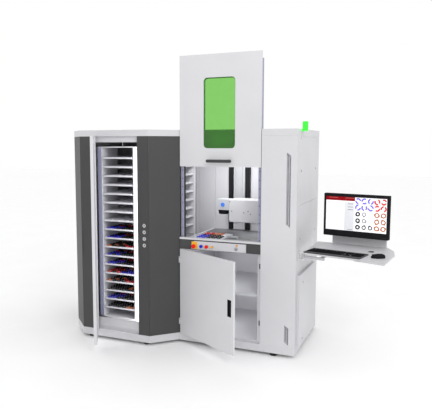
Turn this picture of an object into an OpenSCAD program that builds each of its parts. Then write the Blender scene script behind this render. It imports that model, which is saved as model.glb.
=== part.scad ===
// Laser marking machine with a tray magazine, made of three bodies in a row: the magazine with
// its four-sided rack carousel at the left, the marking bay behind a lift door in the middle and
// the electrical cabinet with a swivelling console at the right.
// Millimetres. The floor is z = 0, the front looks along -y and x runs to the right.

/* [Bodies] */
// Height of the levelling feet under the plinth
foot_h = 28; // [20:1:60]
// Diameter of a foot's pad
foot_d = 64; // [40:2:90]
// Height of the plinth
plinth_h = 65; // [40:1:120]
// Height of the bodies between the plinth and the caps
body_h = 1801; // [1650:1:2200]
// Height of the top caps
cap_h = 56; // [30:1:90]
// Depth of the bay and the cabinet
bay_d = 900; // [900:1:1200]
// Width of the marking bay
bay_w = 762; // [700:1:1000]
// Width of the electrical cabinet
cab_w = 305; // [250:1:600]
// Width of the tray magazine
mag_w = 1130; // [1110:1:1400]
// How far the magazine stands in front of the bay
mag_front = 200; // [190:1:320]
// Size of the magazine's cut front corners
corner_cut = 210; // [100:1:240]
// Thickness of the outer panels
panel_t = 20; // [12:1:24]
// Gap between neighbouring panels
seam = 2; // [1:0.5:5]
// Gap between pieces that are screwed or stand on each other
seat = 0.3; // [0.1:0.1:0.8]

/* [Magazine front] */
// Distance from the magazine's left side to the door opening
opening_from_left = 357; // [300:1:500]
// Width of the door opening
opening_w = 453; // [420:1:480]
// Thickness of the magazine door
mag_door_t = 26; // [18:1:26]
// How far the magazine door's face stands in front of the panels
mag_door_proud = 6; // [4:1:12]
// Angle at which the magazine door stands open
mag_door_angle = 59; // [0:1:110]
// Gap around each door
door_gap = 3; // [2:0.5:6]
// Height of the white header above the door opening
mag_header_h = 53; // [30:1:80]
// Number of buttons beside the magazine door
mag_buttons = 4; // [4:1:4]
// Height of the lowest of these buttons above the floor
mag_button_z = 924; // [700:1:1200]
// Distance between two of them
mag_button_pitch = 59.3; // [40:0.1:90]
// Distance from the magazine's right side to the buttons
mag_button_inset = 253; // [225:1:290]
// Outer diameter of a button's ring
mag_button_d = 33; // [24:1:40]

/* [Trays] */
// Width of a tray
tray_w = 324; // [250:1:330]
// Depth of a tray
tray_l = 282; // [220:1:300]
// Height of a tray
tray_h = 14; // [8:1:24]
// Cut corners of a tray
tray_corner = 14; // [5:1:30]
// Gap at each side of a tray in its rack
tray_gap = 2; // [1:0.5:4]
// Distance between tray levels
tray_pitch = 82.7; // [70:0.1:120]
// Height of the lowest tray's middle above the floor
tray_low = 291.1; // [280:0.1:320]
// Level, counted from below as 0, at which a tray goes to the bay
work_level = 8; // [6:1:9]
// Number of loaded trays in the front rack, from below
loaded_trays = 10; // [0:1:12]
// Workpieces across a tray
piece_cols = 6; // [2:1:6]
// Workpieces along a tray
piece_rows = 5; // [2:1:5]
// Distance between workpieces
piece_pitch = 50; // [42:1:52]
// Outer diameter of a ring
piece_d = 40; // [20:1:41]
// Wall of a ring
piece_wall = 8; // [4:1:12]
// Height of a ring
piece_h = 9; // [5:1:20]

/* [Carousel] */
// Distance from the carousel's axis to the face of a rack
rack_face = 482; // [440:1:486]
// Width of a rack's front flanges
rack_flange = 41; // [25:1:45]
// Thickness of the rack sheets
rack_sheet = 3; // [2:0.5:4]
// Width of a ledge that carries a tray
ledge_w = 14; // [8:1:24]
// Thickness of a ledge
ledge_t = 4; // [3:0.5:8]
// Diameter of the holes in the rack flanges
flange_hole_d = 9; // [5:0.5:14]
// Radius of the turntable disc
table_r = 515; // [500:1:520]
// Thickness of the turntable disc
table_disc_t = 12; // [8:1:20]
// Height of the turntable's top above the floor
table_top = 208; // [190:1:230]
// Side of the square column
column_w = 80; // [60:1:120]
// Wall of the column
column_wall = 5; // [3:0.5:10]
// Thickness of the plate on top of the racks
top_plate_t = 8; // [5:1:15]
// Space between the top plate and the underside of the cap
carousel_head = 94; // [70:1:130]
// Diameter of the upper pivot pin
pivot_d = 30; // [20:1:50]
// Radial running clearance of turning pins
run = 0.06; // [0.03:0.01:0.1]

/* [Marking bay] */
// Height of the sill above the work table
sill_up = 25.3; // [15:0.1:40]
// Thickness of the sill
sill_t = 16; // [10:1:30]
// Height of the dark fascia under the sill
fascia_h = 88; // [85:1:140]
// Thickness of the wall between the magazine and the bay
partition_t = 28; // [20:1:30]
// Thickness of the work table
work_table_t = 20; // [10:1:30]
// Width of the slot that the tray gripper runs in
gripper_slot = 20; // [16:1:40]
// Distance between the bay's left side and the middle of the work tray
work_tray_x = 190; // [185:1:260]
// Height of the header beam behind the lift door
header_h = 104; // [60:1:150]

/* [Lift door] */
// How far the lift door stands above its closed place
lift_raised = 640; // [0:1:640]
// Gap between the lift door and the bay's sides
lift_side_gap = 5; // [3:1:10]
// Thickness of the lift door
lift_door_t = 20; // [12:1:22]
// Width of the window
window_w = 291; // [200:1:500]
// Height of the window
window_h = 606; // [300:1:650]
// Height of the window's lower edge in the door
window_up = 161; // [120:1:260]
// Distance from the door's right edge to the window
window_in = 233; // [120:1:300]
// Corner radius of the window
window_r = 33; // [10:1:60]
// Thickness of the filter glass
glass_t = 6; // [4:1:10]
// Length of the handle
handle_l = 234; // [150:1:300]
// Diameter of the handle's bar
handle_d = 27; // [18:1:34]
// Distance from the door to the bar's axis
handle_out = 45; // [40:1:70]
// Height of the handle in the door
handle_up = 51; // [40:1:120]
// Distance from the door's left edge to the handle
handle_in = 268; // [200:1:350]
// Width of the perforated guide channels
guide_w = 26; // [20:1:40]
// Depth of the guide channels
guide_d = 28; // [20:1:35]
// Sheet of the guide channels
guide_sheet = 3; // [2:0.5:4]
// Pitch of the holes in the guide channels
guide_hole_pitch = 41.35; // [30:0.01:60]

/* [Laser head] */
// Width of the laser housing
laser_w = 330; // [200:1:400]
// Depth of the laser housing
laser_l = 420; // [300:1:450]
// Height of the laser housing
laser_h = 210; // [120:1:260]
// Distance from the bay's right side to the housing
laser_in = 90; // [60:1:150]
// Height of the housing's underside above the work table
laser_up = 152.3; // [140:0.1:400]
// Width and depth of the scan head
scan_w = 124; // [90:1:130]
// Height of the scan head
scan_h = 100; // [70:1:140]
// Radius of the lens barrel
lens_r = 50; // [30:1:52]
// Length of the lens below its flange
lens_h = 28; // [20:1:60]
// Left edge of the vertical axis, from the bay's left side
axis_in = 164; // [130:1:220]
// Width over the two rails of the vertical axis
axis_w = 224; // [180:1:260]

/* [Control panel] */
// Distance from the bay's left side to the control panel
panel_in = 121; // [100:1:180]
// Width of the control panel
panel_w = 512; // [480:1:560]
// Height of the control panel
panel_h = 73; // [72:1:80]
// Thickness of the control panel
control_t = 12; // [8:1:20]
// Diameter of the emergency stop's head
estop_d = 38; // [30:1:42]
// Diameter of the push buttons
button_d = 30; // [22:1:32]
// Travel of the push buttons
button_travel = 4; // [2:0.5:6]

/* [Cupboard] */
// Thickness of the lower door
lower_door_t = 22; // [18:1:24]
// Angle at which the lower door stands open
lower_door_angle = 29.4; // [0:0.1:110]
// Height of the shelf's top above the floor
shelf_z = 510; // [350:1:650]
// Thickness of the shelf
shelf_t = 18; // [10:1:25]
// Height of the recessed pull
pull_h = 143; // [100:1:200]
// Width of the recessed pull
pull_w = 47; // [30:1:60]
// Distance from the door's free edge to the pull
pull_in = 23; // [20:1:80]

/* [Electrical cabinet] */
// Width of the slanted vents
vent_w = 36; // [20:1:60]
// How much a vent's ends slant down
vent_slant = 25; // [0:1:40]
// Distance from the cabinet's left side to the vents
vent_in = 216; // [180:1:240]
// Height of the upper vent's lower edge above the floor
vent_z = 1153; // [1000:1:1200]
// Height of the upper vent
vent_h = 600; // [300:1:680]
// Height of the lower vent's lower edge above the floor
low_vent_z = 140; // [120:1:200]
// Height of the lower vent
low_vent_h = 148; // [80:1:300]
// Height of the joint between the lower and the middle side covers
cover_joint = 718; // [650:1:800]
// Height of the joint between the middle and the upper side covers
cover_joint_2 = 1309; // [1200:1:1500]
// How far the lower side cover stands out
cover_out = 25; // [10:1:40]
// Diameter of a quarter-turn lock
lock_d = 22; // [14:1:30]
// Diameter of the signal lamp
lamp_d = 48; // [30:1:70]
// Height of the signal lamp's lens
lamp_h = 79; // [50:1:160]

/* [Console] */
// Distance from the cabinet's side to the console's pivot
pivot_out = 40; // [30:1:60]
// Distance from the cabinet's front to the console's pivot
pivot_back = 100; // [80:1:200]
// Angle between the console's front edge and the machine's front
console_turn = 13; // [0:1:30]
// Height of the console tray's top above the floor
console_z = 920; // [850:1:1050]
// Thickness of the console tray
console_t = 35; // [20:1:50]
// Width of the console, from the pivot
console_w = 726; // [650:1:800]
// Depth of the console behind the pivot
console_d = 600; // [500:1:650]
// Width of the part that carries the keyboard
keyboard_zone = 512; // [460:1:560]
// Width of the keyboard
keyboard_w = 486; // [400:1:500]
// Depth of the keyboard
keyboard_l = 215; // [140:1:240]
// Width of the monitor
monitor_w = 590; // [450:1:620]
// Height of the monitor
monitor_h = 383; // [300:1:420]
// Height of the monitor's lower edge above the tray
monitor_up = 80; // [50:1:150]
// Height of the upright behind the monitor
upright_h = 132; // [110:1:250]

/* [Hidden] */
$fn = 48;

// Heights that follow from the stack of feet, plinth, bodies and caps
body_z = foot_h + plinth_h;
body_top = body_z + body_h;
cap_top = body_top + cap_h;

// Plan of the bodies: the cabinet's left front edge is x = 0, y = 0
bay_l = -bay_w;
mag_r = bay_l;
mag_l = mag_r - mag_w;
back_y = bay_d;
back_in = back_y - panel_t;
mag_y = -mag_front;
bay_mid = bay_l / 2;

// Corners of the magazine, outside and inside, seen from above
mitre = panel_t * tan(22.5);
mag_out = [[mag_l, back_y], [mag_l, mag_y + corner_cut], [mag_l + corner_cut, mag_y],
    [mag_r - corner_cut, mag_y], [mag_r, mag_y + corner_cut]];
mag_in = [[mag_l + panel_t, back_in], [mag_l + panel_t, mag_y + corner_cut + mitre],
    [mag_l + corner_cut + mitre, mag_y + panel_t], [mag_r - corner_cut - mitre, mag_y + panel_t],
    [mag_r, mag_y + corner_cut + panel_t * sqrt(2)]];

// Magazine opening and its door
open_l = mag_l + opening_from_left;
open_r = open_l + opening_w;
mag_pivot = [open_l - door_gap, mag_y - mag_door_proud];
mag_door_l = opening_w - 2 * door_gap;
barrel_r = 5.5;
pin_r = 3;
leaf_t = 3;
mag_hinges = [body_z + 120, body_top - 180];
swing_y = mag_pivot[1] + mag_door_t + 6;
grip_z = 798;
grip_in = 137;
grip_w = 112;
grip_h = 232;
grip_depth = 2.5;

// Carousel: its axis stands in the middle of the magazine
axis_x = mag_l + mag_w / 2;
axis_y = mag_y + (back_y - mag_y) / 2;
clear_w = tray_w + 2 * tray_gap;
wall_in = clear_w / 2;
flange_out = wall_in + rack_flange;
rack_top = body_top - carousel_head - top_plate_t;
levels = floor((rack_top - 1.2 * tray_pitch - tray_low) / tray_pitch + 0.5) + 1;
rack_l = tray_l - 7;
ring_rim = 2;
ring_cols = min(piece_cols, floor((tray_w - 2 * ring_rim - piece_d) / piece_pitch) + 1);
ring_rows = min(piece_rows, floor((tray_l - 2 * ring_rim - piece_d) / piece_pitch) + 1);
hub_r = 150;

// The level that feeds the bay sets the table, the sill, the fascia and the doors
work_z = tray_low + work_level * tray_pitch - tray_h / 2;
table_z = work_z - seat;
sill_z = table_z + sill_up;
sill_top = sill_z + sill_t;
fascia_z = sill_z - fascia_h;
rail_z = fascia_z - 2;
tray_home = bay_l + work_tray_x;
tray_rack = axis_x + rack_face - 1.5 - tray_l / 2;
work_y = axis_y;
arm_reach = 100;
post_x = tray_home + tray_l / 2 + arm_reach;
slot_right = post_x + 130;
shelf_front = 61;

// Transfer opening in the wall between the magazine and the bay
pass_front = work_y - tray_w / 2 - 108;
bay_head = body_top - header_h;
pass_top = bay_head;
liner_l = bay_l - 213;

// Lift door
lift_w = bay_w - 2 * lift_side_gap;
lift_h = cap_top + 2 - sill_top;
lift_z = sill_top + lift_raised;
win_x = -lift_side_gap - window_in - window_w;
handle_x = bay_l + lift_side_gap + handle_in;
guide_y = lift_door_t + 4;
guide_top = body_top - 4;
runner_out = 2;
bay_cap_y = 60;
cyl_r = 12;
cyl_x = -20;
cyl_y = guide_y + guide_d + 18;
link_w = 7;
link_low = lift_z + 25;
link_top = lift_z + 75;
link_gap = 2;

// Laser head
laser_x = -laser_in - laser_w;
laser_y = back_in - 100 - laser_l;
laser_z = table_z + laser_up;
scan_x = laser_x - scan_w;
lens_x = scan_x + scan_w / 2;
lens_y = laser_y + scan_w / 2;
scan_z = laser_z + laser_h - scan_h;
z_rail_d = 40;
z_rail_w = 44;
carriage_t = 20;

// Control panel
panel_x = bay_l + panel_in;
panel_z = fascia_z + 5;
panel_mid = panel_z + panel_h / 2 - 6;
stem_r = 8;
stem_hole = stem_r + 0.4;
button_face = -control_t - 3 - seat;
estop_x = panel_x + 31;
blue_x = panel_x + 96;
red_x = panel_x + 148;
yellow_x = panel_x + 198;
key_x = panel_x + 425;
lamp_x = key_x + 6;

// Lower door
lower_pivot = [bay_l - 2, -5];
lower_l = bay_w - 24;
lower_z = body_z + 5;
lower_h = fascia_z - lower_z - door_gap;
pull_z = lower_z + lower_h * 0.405;
lower_hinges = [lower_z + 78, lower_z + lower_h - 128];

// Side covers and locks
cover_t = 18;
cover_front = 90;
cover_back = 800;
low_cover_front = 60;
low_cover_back = 700;
cover_gap = 0.8;
rear_joint = 940;
air_slots = 8;

// Console
piv = [cab_w + pivot_out, pivot_back];
arm_r = 16;
bracket_top = console_z - 6;
bracket_low = bracket_top - 68;
arm_top = console_z - console_t - seat;
kb_front = -75;
front_rise = 20;
step = 34;
step_slant = 27;
upright_y = console_d - 45;
monitor_y = upright_y - 74;
monitor_x = keyboard_zone / 2 + 10;
monitor_d = 42;

// The origin is the middle of the footprint, taken over the open door and the console
far_right = piv[0] + (console_w - 42) * cos(console_turn) + 274 * sin(console_turn);
far_front = mag_pivot[1] - mag_door_l * sin(mag_door_angle);
origin_x = (mag_l + far_right) / 2;
origin_y = (far_front + back_y) / 2;

// Moves a piece from the machine's plan to the origin's frame
module place() {
    translate([-origin_x, -origin_y, 0]) children();
}

// A box from one corner to the opposite one
module box(a, b) {
    translate(a) cube([b[0] - a[0], b[1] - a[1], b[2] - a[2]]);
}

// A prism over a plan outline between two heights
module prism(points, z0, z1) {
    translate([0, 0, z0]) linear_extrude(height = z1 - z0) polygon(points);
}

// An upright disc or bar along y, its front end at y0
module along_y(x, y0, z, r, l) {
    translate([x, y0, z]) rotate([-90, 0, 0]) cylinder(r = r, h = l);
}

// A plate in the x-z plane made from a flat outline, its front face at y0
module plate_xz(y0, t) {
    translate([0, y0 + t, 0]) rotate([90, 0, 0]) linear_extrude(height = t) children();
}

// A rectangle with rounded corners
module round_rect(x, z, w, h, r) {
    translate([x + r, z]) square([w - 2 * r, h]);
    translate([x, z + r]) square([w, h - 2 * r]);
    for (i = [r, w - r], j = [r, h - r]) translate([x + i, z + j]) circle(r = r);
}

// One mitred panel along an edge of the magazine, shortened by half a seam at each end
module edge_panel(i, z0, z1) {
    a = mag_out[i];
    b = mag_out[i + 1];
    d = (b - a) / norm(b - a) * seam / 2;
    prism([a + d, b - d, mag_in[i + 1] - d, mag_in[i] + d], z0, z1);
}

// Pieces on the magazine door or on the lower door, drawn closed and turned to where they stand
module on_mag_door() {
    translate([mag_pivot[0], mag_pivot[1], 0]) rotate([0, 0, -mag_door_angle]) children();
}

module on_lower_door() {
    translate([lower_pivot[0], lower_pivot[1], 0]) rotate([0, 0, -lower_door_angle]) children();
}

// Pieces on the console, in the frame of its pivot and front edge
module on_console() {
    translate([piv[0], piv[1], 0]) rotate([0, 0, -console_turn]) children();
}

// The four sides of the carousel, with the rack's face on -y
module each_rack() {
    for (side = [0 : 3]) translate([axis_x, axis_y, 0]) rotate([0, 0, 90 * side]) children();
}

// Middle height of tray number k, counted from below
function tray_mid(k) = tray_low + k * tray_pitch;

// ---- Standing parts -------------------------------------------------------------------------

module levelling_feet() {
    spots = [[mag_l + 130, back_y - 60], [mag_l + 130, 120], [mag_l + corner_cut + 60, mag_y + 60],
        [mag_r - corner_cut - 60, mag_y + 60], [bay_l, back_y - 60], [bay_l - 40, 110],
        [cab_w - 190, 42], [cab_w - 60, back_y - 60], [60, back_y - 60]];
    color("#3a3a3c") for (p = spots) translate([p[0], p[1], 0]) {
        cylinder(d = foot_d, h = 10);
        translate([0, 0, 10]) cylinder(r1 = foot_d / 2, r2 = foot_d / 4, h = 6);
        cylinder(d = 16, h = foot_h - seat);
    }
}

module plinth() {
    inset = seam / 2;
    color("#d9d9dc") {
        prism([[mag_l, back_y], [mag_l, mag_y + corner_cut], [mag_l + corner_cut, mag_y],
            [mag_r - corner_cut, mag_y], [mag_r, mag_y + corner_cut], [mag_r, back_y]],
            foot_h, body_z);
        box([mag_r + inset, 0, foot_h], [cab_w, back_y, body_z]);
        // threshold plate in the magazine opening, clear of the door's swing
        box([open_l, swing_y, body_z + seat], [open_r, swing_y + 22, body_z + 15]);
    }
}

module magazine_panels() {
    z0 = body_z + seat;
    z1 = body_top - seat;
    hole = mag_button_d / 2 - 3.5;
    color("#505052") {
        edge_panel(0, z0, z1);
        edge_panel(1, z0, z1);
        edge_panel(3, z0, z1);
        // left front strip with its mitred corner and a shallow grip recess
        difference() {
            prism([mag_out[2] + [seam / 2, 0], [open_l, mag_y], [open_l, mag_y + panel_t],
                mag_in[2] + [seam / 2, 0]], z0, z1);
            plate_xz(mag_y - 1, grip_depth + 1)
                round_rect(open_l - grip_in, grip_z, grip_w, grip_h, 22);
        }
        // right front strip with the button holes
        difference() {
            prism([[open_r, mag_y], mag_out[3] - [seam / 2, 0], mag_in[3] - [seam / 2, 0],
                [open_r, mag_y + panel_t]], z0, z1);
            for (i = [0 : mag_buttons - 1])
                along_y(mag_r - mag_button_inset, mag_y - 1, mag_button_z + i * mag_button_pitch,
                    hole, panel_t + 2);
        }
        // two rear panels
        box([mag_l + panel_t + seam, back_in, z0], [axis_x - seam / 2, back_y, z1]);
        box([axis_x + seam / 2, back_in, z0], [mag_r - seam / 2, back_y, z1]);
    }
}

module top_caps() {
    color("#dcdcdf") {
        prism([[mag_l, back_y], [mag_l, mag_y + corner_cut], [mag_l + corner_cut, mag_y],
            [mag_r - corner_cut, mag_y], [mag_r, mag_y + corner_cut], [mag_r, back_y]],
            body_top, cap_top);
        box([mag_r + seam / 2, bay_cap_y, body_top], [-seam / 2, back_y, cap_top]);
        box([0, 0, body_top], [cab_w, back_y, cap_top]);
    }
}

module header_panels() {
    color("#e2e2e4") {
        // header above the magazine opening, hung from the cap behind the door
        box([open_l + seat, swing_y, body_top - mag_header_h],
            [open_r - seat, swing_y + panel_t, body_top - seat]);
        // beam behind the lift door, notched where the door's arm rises past its lower edge
        difference() {
            box([bay_l + seat, bay_cap_y, bay_head], [-seat, bay_cap_y + 60, body_top - seat]);
            if (link_top + link_gap > bay_head) link_path(bay_cap_y - 1, bay_cap_y + 61, bay_head - 1);
        }
        // sill under the lift door
        box([bay_l + seat, -4, sill_z], [-seat, 40, sill_top]);
    }
}

// The half of a hinge that stays on the body: two knuckles on a pin and a leaf
module frame_hinge(z0, h, leaf) {
    third = h / 3;
    translate([0, 0, z0]) cylinder(r = barrel_r, h = third);
    translate([0, 0, z0 + 2 * third]) cylinder(r = barrel_r, h = third);
    translate([0, 0, z0]) cylinder(r = pin_r, h = h);
    for (z = [z0, z0 + 2 * third]) prism(leaf, z, z + third);
}

// The half that turns with the door: one knuckle with its bore and a leaf on the door's face
module door_hinge(z0, h, face, reach) {
    third = h / 3;
    difference() {
        union() {
            translate([0, 0, z0 + third + seat]) cylinder(r = barrel_r, h = third - 2 * seat);
            box([0, face - leaf_t, z0 + third + seat], [reach, face, z0 + 2 * third - seat]);
        }
        translate([0, 0, z0]) cylinder(r = pin_r + run, h = h);
    }
}

module hinges() {
    // leaves reach back to the panels behind the pins
    mag_leaf = [[-24, mag_door_proud - leaf_t - seat], [0, mag_door_proud - leaf_t - seat],
        [0, mag_door_proud - seat], [-24, mag_door_proud - seat]];
    low_leaf = [[-6, -2], [2, -2], [2, -lower_pivot[1] + 10 - 0.5], [-6, -lower_pivot[1] + 2 - 0.5]];
    color("#c4c4c8") {
        translate([mag_pivot[0], mag_pivot[1], 0])
            for (z = mag_hinges) frame_hinge(z, 60, mag_leaf);
        translate([lower_pivot[0], lower_pivot[1], 0])
            for (z = lower_hinges) frame_hinge(z, 57, low_leaf);
    }
}

module carousel_drive() {
    flange_z = table_top - table_disc_t;
    color("#77787c") {
        // indexing drive with its gear motor, on the magazine floor
        translate([axis_x, axis_y, body_z + seat]) {
            cylinder(r = 170, h = flange_z - body_z - 22);
            cylinder(r = hub_r, h = flange_z - body_z - 2 * seat);
        }
        box([axis_x + 165, axis_y - 55, body_z + seat], [axis_x + 300, axis_y + 55, flange_z - 14]);
        translate([axis_x + 300, axis_y, body_z + 45]) rotate([0, 90, 0]) cylinder(r = 40, h = 130);
    }
    color("#77787c") difference() {
        // upper bearing block under the cap
        translate([axis_x, axis_y, body_top - 44]) {
            cylinder(r = 45, h = 44 - seat);
            translate([0, 0, 32]) cylinder(r = 80, h = 12 - seat);
        }
        translate([axis_x, axis_y, body_top - 45]) cylinder(r = pivot_d / 2 + run, h = 41);
    }
}

module partition_panels() {
    z0 = body_z + seat;
    z1 = body_top - seat;
    x0 = mag_r - partition_t;
    front = mag_y + corner_cut + panel_t * sqrt(2) + seam;
    color("#c9c9ce") {
        box([x0, front, z0], [mag_r, pass_front - seat, z1]);
        box([x0, pass_front, z0], [mag_r, back_in - seat, work_z - 2]);
        box([x0, pass_front, pass_top], [mag_r, back_in - seat, z1]);
        // light lining that carries the bay's rear wall on behind the carousel
        box([liner_l + 40, back_in - 6, work_z - 2 + seat], [mag_r - seat, back_in - seat, pass_top - seat]);
        box([liner_l, back_in - 10, z0], [liner_l + 38, back_in - seat, z1]);
    }
}

module rear_panels() {
    z0 = body_z + seat;
    z1 = body_top - seat;
    color("#cfcfd3") {
        for (z = [[z0, rear_joint - seam / 2], [rear_joint + seam / 2, z1]])
            box([bay_l + seam / 2, back_in, z[0]], [-seam / 2, back_y, z[1]]);
        // panel of the cabinet with its air slots
        difference() {
            box([seam / 2, back_in, z0], [cab_w - seam / 2, back_y, z1]);
            for (z = [body_z + 120, body_top - 260], i = [0 : air_slots - 1])
                box([60, back_in - 1, z + i * 16], [cab_w - 60, back_y + 1, z + i * 16 + 6]);
        }
    }
}

module work_table() {
    z0 = table_z - work_table_t;
    half = gripper_slot / 2;
    color("#c6c6ca") {
        box([bay_l + seat, 60, z0], [-seat, work_y - half, table_z]);
        box([bay_l + seat, work_y + half, z0], [-seat, back_in - seat, table_z]);
        box([slot_right, work_y - half + seat, z0], [-seat, work_y + half - seat, table_z]);
        // beams under the table
        for (y = [110, back_in - 120])
            box([bay_l + seat, y, z0 - 40], [-seat, y + 40, z0 - seat]);
        // rail of the tray gripper
        box([bay_l + 12, work_y - 20, rail_z + seat], [-60, work_y + 20, rail_z + 18]);
    }
}

module fascia() {
    color("#464648") difference() {
        box([bay_l + seam / 2, 0, fascia_z], [-seam / 2, panel_t, sill_z - seat]);
        for (x = [estop_x, blue_x, red_x, yellow_x, key_x])
            along_y(x, -1, panel_mid, stem_hole, panel_t + 2);
    }
}

// A C channel, open towards its runner, with a row of holes in the front flange
module guide_channel() {
    n = floor((guide_top - sill_top - 60) / guide_hole_pitch);
    difference() {
        box([0, guide_y, sill_top + seat], [guide_w, guide_y + guide_d, guide_top]);
        box([-1, guide_y + guide_sheet, sill_top - 1],
            [guide_w - guide_sheet, guide_y + guide_d - guide_sheet, guide_top + 1]);
        for (i = [0 : n])
            along_y(guide_w / 2, guide_y - 1, sill_top + 30 + i * guide_hole_pitch, 4, guide_sheet + 2);
    }
}

module lift_guides() {
    color("#9191aa") {
        translate([bay_l + 8, 0, 0]) guide_channel();
        translate([-8, 0, 0]) mirror([1, 0, 0]) guide_channel();
    }
    // fixing plates to the walls beside the channels
    color("#9191aa") for (z = [sill_top + 40, (sill_top + guide_top) / 2, guide_top - 60],
        x = [bay_l + seat, -8 - guide_w])
        box([x, guide_y + guide_d + seat, z], [x + 8 + guide_w - seat, guide_y + guide_d + 4, z + 40]);
}

// Cylinder tube behind the right guide, with its end blocks fixed to the cabinet's wall
// The space that the door's arm sweeps between two depths, from a height up
module link_path(y0, y1, z) {
    box([cyl_x - cyl_r - link_w - link_gap, y0, z], [cyl_x - cyl_r - seat + link_gap, y1, link_top + link_gap]);
}

module lift_cylinder() {
    z0 = sill_top + 3;
    z1 = bay_head - 5;
    color("#b8babd") {
        translate([cyl_x, cyl_y, z0]) cylinder(r = cyl_r, h = z1 - z0);
        for (z = [z0, z1 - 18]) difference() {
            box([cyl_x - 15, cyl_y - 13.5, z], [-seat, cyl_y + 15, z + 18]);
            if (link_top + link_gap > z1 - 18) link_path(cyl_y - 14.5, cyl_y + 16, z1 - 19);
        }
    }
}

module control_panel() {
    r = panel_h / 2;
    color("#c3c3c6") difference() {
        plate_xz(-control_t, control_t - seat) difference() {
            union() {
                translate([panel_x + r, panel_z]) square([panel_w - r, panel_h]);
                translate([panel_x + r, panel_z + r]) circle(r = r);
                translate([panel_x, panel_z]) square([r, r]);
            }
            for (x = [estop_x, blue_x, red_x, yellow_x, key_x])
                translate([x, panel_mid]) circle(r = stem_hole);
        }
    }
}

// A ring around a button, its back on the plate behind it
module bezel(x, y, z, d, t) {
    difference() {
        along_y(x, y - t, z, d / 2, t);
        along_y(x, y - t - 1, z, stem_hole, t + 2);
    }
}

module button_bezels() {
    y = -control_t - seat;
    mag_hole = mag_button_d / 2 - 3.5;
    color("#b9bbbe") {
        for (x = [blue_x, red_x]) bezel(x, y, panel_mid, button_d, 3);
        bezel(key_x, y, panel_mid, button_d, 6);
        // oval surround of the yellow button
        difference() {
            plate_xz(y - 3, 3) round_rect(yellow_x - 15.5, panel_mid - 12, 31, 24, 10);
            along_y(yellow_x, y - 5, panel_mid, stem_hole, 10);
        }
        // pilot lamp above the key switch
        box([lamp_x - 8, y - 5, panel_z + panel_h - 20], [lamp_x + 8, y, panel_z + panel_h - 7]);
        // rings of the magazine buttons
        for (i = [0 : mag_buttons - 1]) difference() {
            along_y(mag_r - mag_button_inset, mag_y - 4 - seat, mag_button_z + i * mag_button_pitch,
                mag_button_d / 2, 4);
            along_y(mag_r - mag_button_inset, mag_y - 6, mag_button_z + i * mag_button_pitch, mag_hole, 8);
        }
    }
}

module estop_plate() {
    color("#e8b020") difference() {
        plate_xz(-control_t - 2 - seat, 2)
            round_rect(estop_x - 28, panel_z + 4, 56, panel_h - 8, 5);
        along_y(estop_x, -control_t - 5, panel_mid, stem_hole, 10);
    }
}

module cupboard_shelf() {
    x0 = bay_l + seat;
    x1 = -seat;
    color("#c8c8cc") {
        box([x0, 24, body_z + seat], [x1, back_in - seat, body_z + 18]);
        box([x0, shelf_front, shelf_z - shelf_t], [x1, 860, shelf_z]);
        box([x0, 24, rail_z - 5], [x1, back_in - seat, rail_z]);
    }
}

module cupboard_jambs() {
    z0 = body_z + 18 + seat;
    z1 = rail_z - 5 - seat;
    color("#d6d6da") {
        box([-30, 24, z0], [-10 - seat, 60, z1]);
        box([-10, 21, z0], [-seat, 60, z1]);
    }
    // catches on the closing side
    color("#2c2c2e") for (z = [lower_z + 154, lower_z + lower_h - 125])
        box([-14, 15.5, z], [-3, 21 - seat, z + 43]);
}

// Outline of a vent: a parallelogram whose ends fall towards the right
module vent_outline(z, h, grow) {
    g = grow;
    polygon([[vent_in - g, z - g], [vent_in + vent_w + g, z - vent_slant - g],
        [vent_in + vent_w + g, z - vent_slant + h + g], [vent_in - g, z + h + g]]);
}

module cabinet_front_panel() {
    color("#dcdcdf") plate_xz(0, panel_t) difference() {
        translate([0, body_z + seat]) square([cab_w, body_h - 2 * seat]);
        vent_outline(vent_z, vent_h, 0);
        vent_outline(low_vent_z, low_vent_h, 0);
    }
}

// Grille behind a vent: a sheet with rows of slots
module vent_grille(z, h) {
    slot_pitch = 9;
    n = floor((h - 16) / slot_pitch);
    plate_xz(panel_t + seat, 2) difference() {
        vent_outline(z, h, 8);
        for (i = [0 : n - 1], j = [0, 1])
            translate([vent_in + 4 + j * (vent_w / 2 - 1), z + 6 + i * slot_pitch - j * vent_slant / 2])
                square([vent_w / 2 - 7, 4]);
    }
}

module vent_grilles() {
    color("#a6a8ad") {
        vent_grille(vent_z, vent_h);
        vent_grille(low_vent_z, low_vent_h);
    }
}

module cabinet_walls() {
    z0 = body_z + seat;
    z1 = body_top - seat;
    y0 = panel_t + 3;
    y1 = back_in - seat;
    x0 = cab_w - panel_t;
    color("#d8d8db") {
        // wall towards the bay
        box([0, y0, z0], [panel_t, y1, z1]);
        // side wall around the covers
        box([x0, y0, z0], [cab_w, y1, cover_joint]);
        box([x0, y0, cover_joint + seat], [cab_w, cover_front - cover_gap, z1]);
        box([x0, cover_back + cover_gap, cover_joint + seat], [cab_w, y1, z1]);
        box([x0, cover_front, body_top - 9], [cab_w, cover_back, z1]);
    }
}

module access_covers() {
    x0 = cab_w - cover_t;
    color("#dededf") {
        box([x0, cover_front, cover_joint + cover_gap], [cab_w, cover_back, cover_joint_2 - seam / 2]);
        box([x0, cover_front, cover_joint_2 + seam / 2], [cab_w, cover_back, body_top - 9 - cover_gap]);
        box([cab_w + seat, low_cover_front, body_z + 7],
            [cab_w + cover_out, low_cover_back, cover_joint - 3]);
    }
}

// One quarter-turn lock on a face that looks to +x
module lock(x, y, z) {
    translate([x, y, z]) rotate([0, 90, 0]) difference() {
        cylinder(d = lock_d, h = 3);
        translate([-lock_d / 3, -1.5, 1.5]) cube([lock_d / 1.5, 3, 3]);
    }
}

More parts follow.
